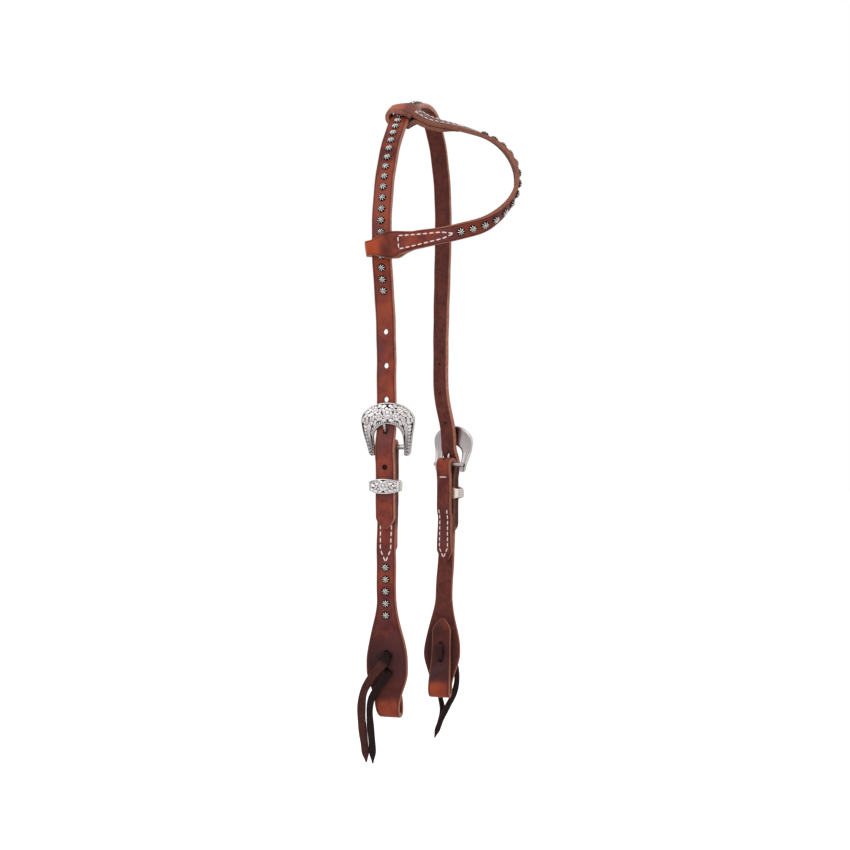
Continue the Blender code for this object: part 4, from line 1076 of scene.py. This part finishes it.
# A thong: an oblong section with soft corners, half width a and half thickness b, as
# (a cos^0.55, b sin^0.55) with signs kept, turned about its path by a slow twist and cupped
def makeThong(name, path, outward, twist, wide, thick, taper, dark):
    run = unit(np.gradient(path, axis=0))
    up = squareTo(run, outward)
    side = np.cross(run, up)
    c, s = np.cos(twist)[:, None], np.sin(twist)[:, None]
    side, up = side * c + up * s, up * c - side * s
    a = 2 * pi * np.arange(lace["around"]) / lace["around"]
    px, py = (np.sign(wave) * np.abs(wave) ** 0.55 for wave in (np.cos(a), np.sin(a)))
    length = lengthAlong(path)
    halfWide = wide / 2 * taper * (1.0 + 0.08 * np.sin(length * 0.21) * np.sin(length * 0.087 + 1.0))
    cup = lace["cup"] * (px ** 2 - 0.4)[None, :] * np.sin(length * 0.06)[:, None]
    points = path[:, None] + side[:, None] * (px * halfWide[:, None])[..., None]
    points = points + up[:, None] * (py * thick / 2 * taper[:, None] ** 0.5 + cup)[..., None]
    edge = np.broadcast_to((np.abs(np.cos(a)) ** 4)[None, :], (len(path), len(a)))
    # painted shade where it comes out of its hole
    dark = dark + (1.0 - dark) * (1.0 - after(length, lace["dim"], lace["dim"]))[:, None]
    maps = {"layer": np.stack([edge, 0.0 * edge + dark], -1)}
    return makePiece(name, points, gridFaces(len(path), len(a)), maps)


lacePieces = {}
for node, keys in tieRoutes.items():
    side = sides[node.split("_")[0]]
    path = keyCurve(onSide(side, *np.array(keys).T), 3)
    s = lengthAlong(path)
    at = np.linspace(0.0, s[-1], lace["along"])
    fine = through(s, path, at)
    low, high, wide, dark = tailLook[node]
    taper = 1.0 - 0.75 * after(at, s[-1] - lace["point"], lace["point"]) ** 1.6
    taper = taper - 0.45 * (1.0 - ease(at / lace["start"]))
    piece = makeThong(node.replace("_tie_tail_", "TieTail"), fine, facing(side, fine[:, 2] - side["bar"])[1],
                      low + (high - low) * at / s[-1], wide, lace["thick"], taper, dark)
    lacePieces[node] = (piece, fine, wide)

# The lace's run: from one tail in through the upper hole, down inside, and out to the other
for name, side in sides.items():
    face = float(cheekOut(cheek["flareTop"]))
    outside = face + strap["cheekThick"] / 2 + 0.4
    inside = face - 1.5 * strap["cheekThick"] - 2 * strap["air"] - 1.7
    upper, lower = cheek["laceHoles"]
    first, last = (tieRoutes["%s_tie_tail_%d" % (name, k)][0] for k in (1, 2))
    keys = [first, (first[0] * 0.45, outside + 0.6, (first[2] + upper) / 2), (0.0, outside - 1.2, upper),
            (0.0, outside - 3.4, upper), (0.0, inside + 1.6, upper - 0.3), (0.0, inside + 0.1, upper - 2.6),
            (0.0, inside, (upper + lower) / 2), (0.0, inside + 0.1, lower + 2.6),
            (0.0, inside + 1.6, lower + 0.3), (0.0, outside - 3.4, lower), (0.0, outside - 1.2, lower),
            (last[0] * 0.45, outside + 0.6, (last[2] + lower) / 2), last]
    path = keyCurve(onSide(side, *np.array(keys).T), 8)
    outward = unit(np.cross(unit(np.gradient(path, axis=0)), facing(side, upper)[0]))
    flat = np.zeros(len(path))
    piece = makeThong(name + "TieLace", path, outward, flat, lace["run"], lace["runThick"], flat + 1.0,
                      lace[name + "Dark"])
    lacePieces[name + "_tie_lace"] = (piece, None, None)
print("laces ready")


# Shader maths: a wrapped socket, so that plain arithmetic adds Math nodes
class Shade:
    def __init__(self, tree, socket=None):
        self.tree = tree
        self.socket = socket

    # a node of any kind: its settings, then its sockets' values or links, and the output wanted
    def node(self, kind, settings, inputs, output=0):
        made = self.tree.nodes.new(kind)
        for name, value in settings.items():
            setattr(made, name, value)
        for name, value in inputs.items():
            if isinstance(value, Shade):
                value.into(made.inputs[name])
            else:
                made.inputs[name].default_value = value
        return Shade(self.tree, made.outputs[output])

    def into(self, socket):
        self.tree.links.new(self.socket, socket)

    def math(self, how, a, b):
        return self.node("ShaderNodeMath", {"operation": how}, {0: a, 1: b})

    def __add__(self, other):
        return self.math("ADD", self, other)

    def __sub__(self, other):
        return self.math("SUBTRACT", self, other)

    def __rsub__(self, other):
        return self.math("SUBTRACT", other, self)

    def __mul__(self, other):
        return self.math("MULTIPLY", self, other)

    __radd__ = __add__
    __rmul__ = __mul__

    def clear(self):
        return self.node("ShaderNodeClamp", {}, {0: self})

    # 0 below low, 1 above high, smooth between
    def between(self, low, high):
        return self.node("ShaderNodeMapRange", {"interpolation_type": "SMOOTHSTEP"}, {0: self, 1: low, 2: high})

    # this value picks between two colours
    def mixed(self, a, b):
        a, b = ((*tone, 1.0) if isinstance(tone, tuple) else tone for tone in (a, b))
        return self.node("ShaderNodeMix", {"data_type": "RGBA", "clamp_factor": True}, {0: self, 6: a, 7: b}, 2)

    # the three values of a vector
    def parts(self):
        split = self.node("ShaderNodeSeparateXYZ", {}, {0: self}).socket.node
        return [Shade(self.tree, socket) for socket in split.outputs]

    # the pair of values in a UV map
    def pair(self, name):
        return self.node("ShaderNodeUVMap", {"uv_map": name}, {}).parts()[:2]

    def noise(self, place, scale, detail, rough=0.55, distort=0.0):
        return self.node("ShaderNodeTexNoise", {}, {"Vector": place, "Scale": scale, "Detail": detail,
                                                    "Roughness": rough, "Distortion": distort})

    def bump(self, height, strength, deep):
        return self.node("ShaderNodeBump", {}, {"Strength": strength, "Distance": deep, "Height": height})


# A material with constants on its shader, and the object's own coordinates to draw patterns on
def newMaterial(name, settings):
    look = bpy.data.materials.new(name)
    look.use_nodes = True
    shader = look.node_tree.nodes["Principled BSDF"]
    for key, value in settings.items():
        shader.inputs[key].default_value = value
    shade = Shade(look.node_tree)
    return look, shade, shader, shade.node("ShaderNodeTexCoord", {}, {}, "Object")


# Leather: russet grain face with patches of painted sheen, darker just inside its tan cut edges,
# rough flesh side, an orange painted highlight where it bends, and painted shade and other
# darkening from its tone map, nearly black round the laces
leather = {"bright": (0.250, 0.051, 0.030), "deep": (0.095, 0.017, 0.016), "orange": (0.400, 0.064, 0.018),
           "edge": (0.400, 0.160, 0.105), "edgeDeep": (0.170, 0.052, 0.032), "flesh": (0.150, 0.036, 0.024),
           "fleshDeep": (0.062, 0.015, 0.013), "dark": (0.012, 0.0045, 0.0045), "border": (0.060, 0.010, 0.008),
           "earFlesh": (0.300, 0.120, 0.082), "crownEdge": (0.500, 0.220, 0.150),
           "paintedSheen": (0.125, 0.034, 0.034), "flame": (0.330, 0.058, 0.022)}
# patterns as (scale, detail, roughness, distortion)
leatherGrain = {"cloud": (17.0, 3.0, 0.55, 0.6), "blotch": (75.0, 4.0, 0.62, 0.5),
                "fine": (420.0, 4.0, 0.6, 0.0), "fibre": (260.0, 8.0, 0.75, 0.6),
                "patch": (24.0, 2.0, 0.5, 0.8)}


# paleTop and paleLow are how pale the face is at the top and at the bottom of the headstall
def leatherMaterial(name, paleTop, paleLow, edgeTone, flesh):
    look, shade, shader, place = newMaterial(name, {"Specular IOR Level": 0.13})
    edge, inside = shade.pair("layer")
    bend, shadeAndDarkening = shade.pair("tone")
    cloud, blotch, fine, fibre, patch = (shade.noise(place, *grain) for grain in leatherGrain.values())
    pores = shade.node("ShaderNodeTexVoronoi", {"feature": "SMOOTH_F1"},
                       {"Vector": place, "Scale": 900.0, "Smoothness": 0.4})
    lift = place.parts()[2].between(-0.52, -0.05)
    uneven = (cloud - 0.5) * 2.4 + (blotch - 0.5) * 2.2 + (fine - 0.5) * 0.8
    face = (lift * (paleTop - paleLow) + paleLow + uneven).clear().mixed(leather["deep"], leather["bright"])
    # purple patches of painted sheen
    face = (patch.between(0.50, 0.64) * 0.75).mixed(face, leather["paintedSheen"])
    face = ((1.0 - patch.between(0.34, 0.46)) * 0.6).mixed(face, leather["flame"])
    # the orange painted highlight on the folds
    face = (bend * (0.85 + (blotch - 0.5) * 1.6)).clear().mixed(face, leather["orange"])
    face = (edge.between(0.02, 0.30) * 0.65).mixed(face, leather["border"])
    back = ((fibre - 0.5) * 2.6 + (blotch - 0.5) * 1.6 + 0.45).clear().mixed(leather["fleshDeep"], flesh)
    cut = ((fibre - 0.5) * 2.2 + 0.62).clear().mixed(leather["edgeDeep"], edgeTone)
    behind = inside.between(0.4, 0.6)
    body = edge.between(0.36, 0.75).mixed(behind.mixed(face, back), cut)
    # painted shade and other darkening, from the tone map
    (shadeAndDarkening * 0.96).mixed(body, leather["dark"]).into(shader.inputs["Base Color"])
    rough = behind * 0.28 + edge * 0.14 + (fine - 0.5) * 0.22 + (blotch - 0.5) * 0.2 + 0.42 - bend * 0.08
    rough.into(shader.inputs["Roughness"])
    grain = fine * 0.5 + pores * (1.0 - inside) * 0.8 + fibre * (inside * 1.6 + edge * 0.6)
    shade.bump(grain, 0.5, 0.0004).into(shader.inputs["Normal"])
    return look


laceTone = {"face": (0.085, 0.023, 0.018), "deep": (0.022, 0.0075, 0.0065), "edge": (0.150, 0.055, 0.036),
            "dark": (0.006, 0.003, 0.0025)}


# Lace: dark brown with a paler cut edge, blackened where its map says
def laceMaterial():
    look, shade, shader, place = newMaterial("lace", {"Specular IOR Level": 0.12})
    edge, dark = shade.pair("layer")
    fibre = shade.noise(place, 300.0, 6.0, 0.7, 0.5)
    cloud = shade.noise(place, 60.0, 3.0)
    body = ((fibre - 0.5) * 1.6 + cloud).clear().mixed(laceTone["deep"], laceTone["face"])
    body = (edge.between(0.5, 1.0) * fibre * 1.2).clear().mixed(body, laceTone["edge"])
    (dark * 0.95).mixed(body, laceTone["dark"]).into(shader.inputs["Base Color"])
    (fibre * 0.3 + 0.38).into(shader.inputs["Roughness"])
    shade.bump(fibre, 0.6, 0.0004).into(shader.inputs["Normal"])
    return look


# Antiqued silver: bright on what stands up, blackened in the hollows, brushed smooth behind.
# "tone" is (plain, dark), where plain is 0 on engraving, a half on a keeper's band and 1 on
# a frame's back.  Finishes are (bright, worn, black, roughness)
silver = {"band": (0.95, 0.88, 0.80), "bandWorn": (0.80, 0.72, 0.65), "back": (0.47, 0.42, 0.43),
          "backWorn": (0.37, 0.33, 0.34),
          "spot": ((0.94, 0.91, 0.87), (0.78, 0.74, 0.70), (0.008, 0.007, 0.007), 0.24),
          "engraved": ((0.86, 0.83, 0.83), (0.50, 0.45, 0.44), (0.038, 0.032, 0.031), 0.26),
          "plain": ((0.40, 0.37, 0.36), (0.50, 0.45, 0.44), (0.038, 0.032, 0.031), 0.30)}


def silverMaterial(name, bright, worn, black, rough):
    look, shade, shader, place = newMaterial(name, {"Metallic": 1.0})
    plain, dark = shade.pair("tone")
    cloud = shade.noise(place, 220.0, 4.0, 0.6)
    stipple = shade.noise(place, 1600.0, 2.0, 0.6)
    body = (cloud * 1.6 - 0.3).clear().mixed(bright, worn)
    body = (plain * 2.0).clear().mixed(body, (cloud * 0.9).mixed(silver["band"], silver["bandWorn"]))
    body = (plain * 2.0 - 1.0).clear().mixed(body, (cloud * 0.9).mixed(silver["back"], silver["backWorn"]))
    dark.clear().mixed(body, black).into(shader.inputs["Base Color"])
    (dark * 0.35 + (cloud - 0.5) * 0.16 + rough).clear().into(shader.inputs["Roughness"])
    shade.bump(stipple * (dark * 0.9 + 0.12), 0.25, 0.0002).into(shader.inputs["Normal"])
    return look


# Thread: white to pinkish fuzz
def threadMaterial():
    look, shade, shader, place = newMaterial("thread", {"Roughness": 0.75, "Sheen Weight": 0.2})
    fuzz = shade.noise(place, 1500.0, 3.0)
    fuzz.mixed((0.72, 0.52, 0.47), (0.92, 0.78, 0.73)).into(shader.inputs["Base Color"])
    shade.bump(fuzz, 0.5, 0.0002).into(shader.inputs["Normal"])
    return look


crownLeather = leatherMaterial("crownLeather", 0.52, 0.48, leather["crownEdge"], leather["flesh"])
earLeather = leatherMaterial("earLeather", 0.48, 0.48, leather["edge"], leather["earFlesh"])
cheekLeather = leatherMaterial("cheekLeather", 0.36, 0.30, leather["edge"], leather["flesh"])
laceLook = laceMaterial()
spotSilver = silverMaterial("spotSilver", *silver["spot"])
engravedSilver = silverMaterial("engravedSilver", *silver["engraved"])
plainSilver = silverMaterial("plainSilver", *silver["plain"])
threadLook = threadMaterial()
print("materials ready")


# Its one material, the body it rides, its slot, which is not used, and the solids it stands for
def finishPiece(piece, look, body, slot, nodes=()):
    piece.data.materials.clear()
    piece.data.materials.append(look)
    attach(piece, body)
    if nodes:
        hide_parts(*nodes)


finishPiece(crownStrap, crownLeather, "headstall", "crown_leather", ["crown_strap"])
finishPiece(crownSpots, spotSilver, "headstall", "spots")
finishPiece(earStrap, earLeather, "ear_piece", "ear_leather", ["ear_strap"])
finishPiece(earStitches, threadLook, "ear_piece", "ear_leather")
for node, piece in spotPieces.items():
    finishPiece(piece, spotSilver, "ear_piece" if node.startswith("ear") else "headstall", "spots", [node])
metalLook = {"_buckle_frame": (engravedSilver, "_buckle", "engraved_silver"),
             "_buckle_bar": (plainSilver, "_buckle", "plain_silver"),
             "_buckle_tongue": (plainSilver, "_tongue", "plain_silver"),
             "_keeper": (engravedSilver, "_keeper_loop", "engraved_silver")}
for name in sides:
    finishPiece(cheekPieces[name], cheekLeather, "headstall", "cheek_leather", [name + "_cheek"])
    finishPiece(stitchPieces[name], threadLook, "headstall", "cheek_leather")
    for kind, (look, body, slotName) in metalLook.items():
        finishPiece(metalPieces[name + kind], look, name + body, slotName, [name + kind])
for node, (piece, fine, wide) in lacePieces.items():
    finishPiece(piece, laceLook, "headstall", "lace", [node])
    if fine is not None:
        fine[0] * mm
        float(lengthAlong(fine)[-1]) * mm
        wide * mm
        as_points(fine * mm)
print("pieces on their bodies")


# A pale floor some way below, a white surround and soft light from the front and above, in
# metres.  The floor glows only for the camera, so that it fades into the surround
studio = {"floor": -0.78, "size": 9.0, "pale": 0.86, "glow": 0.45, "surround": 0.76,
          "aim": (0.0, -0.05, -0.28)}
white = (1.0, 1.0, 1.0, 1.0)
data = bpy.data.meshes.new("floor")
reach = studio["size"]
corners = [(x * reach, y * reach, studio["floor"]) for x, y in ((-1, -1), (1, -1), (1, 1), (-1, 1))]
data.from_pydata(corners, [], [(0, 1, 2, 3)])
floor = bpy.data.objects.new("floor", data)
scene.collection.objects.link(floor)
pale = studio["pale"]
settings = {"Base Color": (pale, pale, pale, 1.0), "Roughness": 0.9}
look, shade, shader = newMaterial("paleFloor", settings)[:3]
matt = Shade(shade.tree, shader.outputs[0])
glow = shade.node("ShaderNodeEmission", {}, {"Color": white, "Strength": studio["glow"]})
both = shade.node("ShaderNodeAddShader", {}, {0: matt, 1: glow})
seen = shade.node("ShaderNodeLightPath", {}, {}, "Is Camera Ray")
pick = shade.node("ShaderNodeMixShader", {}, {0: seen, 1: matt, 2: both})
pick.into(look.node_tree.nodes["Material Output"].inputs[0])
data.materials.append(look)

world = bpy.data.worlds.new("surround")
scene.world = world
world.use_nodes = True
shade = Shade(world.node_tree)
background = world.node_tree.nodes["Background"]
background.inputs["Color"].default_value = white
toCamera = shade.node("ShaderNodeLightPath", {}, {}, "Is Camera Ray")
glossy = shade.node("ShaderNodeLightPath", {}, {}, "Is Glossy Ray")
strength = (toCamera + glossy).clear() * (1.0 - studio["surround"]) + studio["surround"]
strength.into(background.inputs["Strength"])

lamps = {"key": ((-0.9, -1.5, 0.9), 1.3, 13.5), "fill": ((1.4, -1.0, 0.1), 1.5, 5.0),
         "rim": ((0.4, 1.4, 0.8), 1.0, 5.5)}
for name, (where, size, power) in lamps.items():
    lamp = bpy.data.lights.new(name, "AREA")
    lamp.size = size
    lamp.energy = power
    holder = bpy.data.objects.new(name, lamp)
    scene.collection.objects.link(holder)
    holder.location = where
    holder.rotation_euler = (Vector(studio["aim"]) - Vector(where)).to_track_quat("-Z", "Y").to_euler()
print("studio ready")
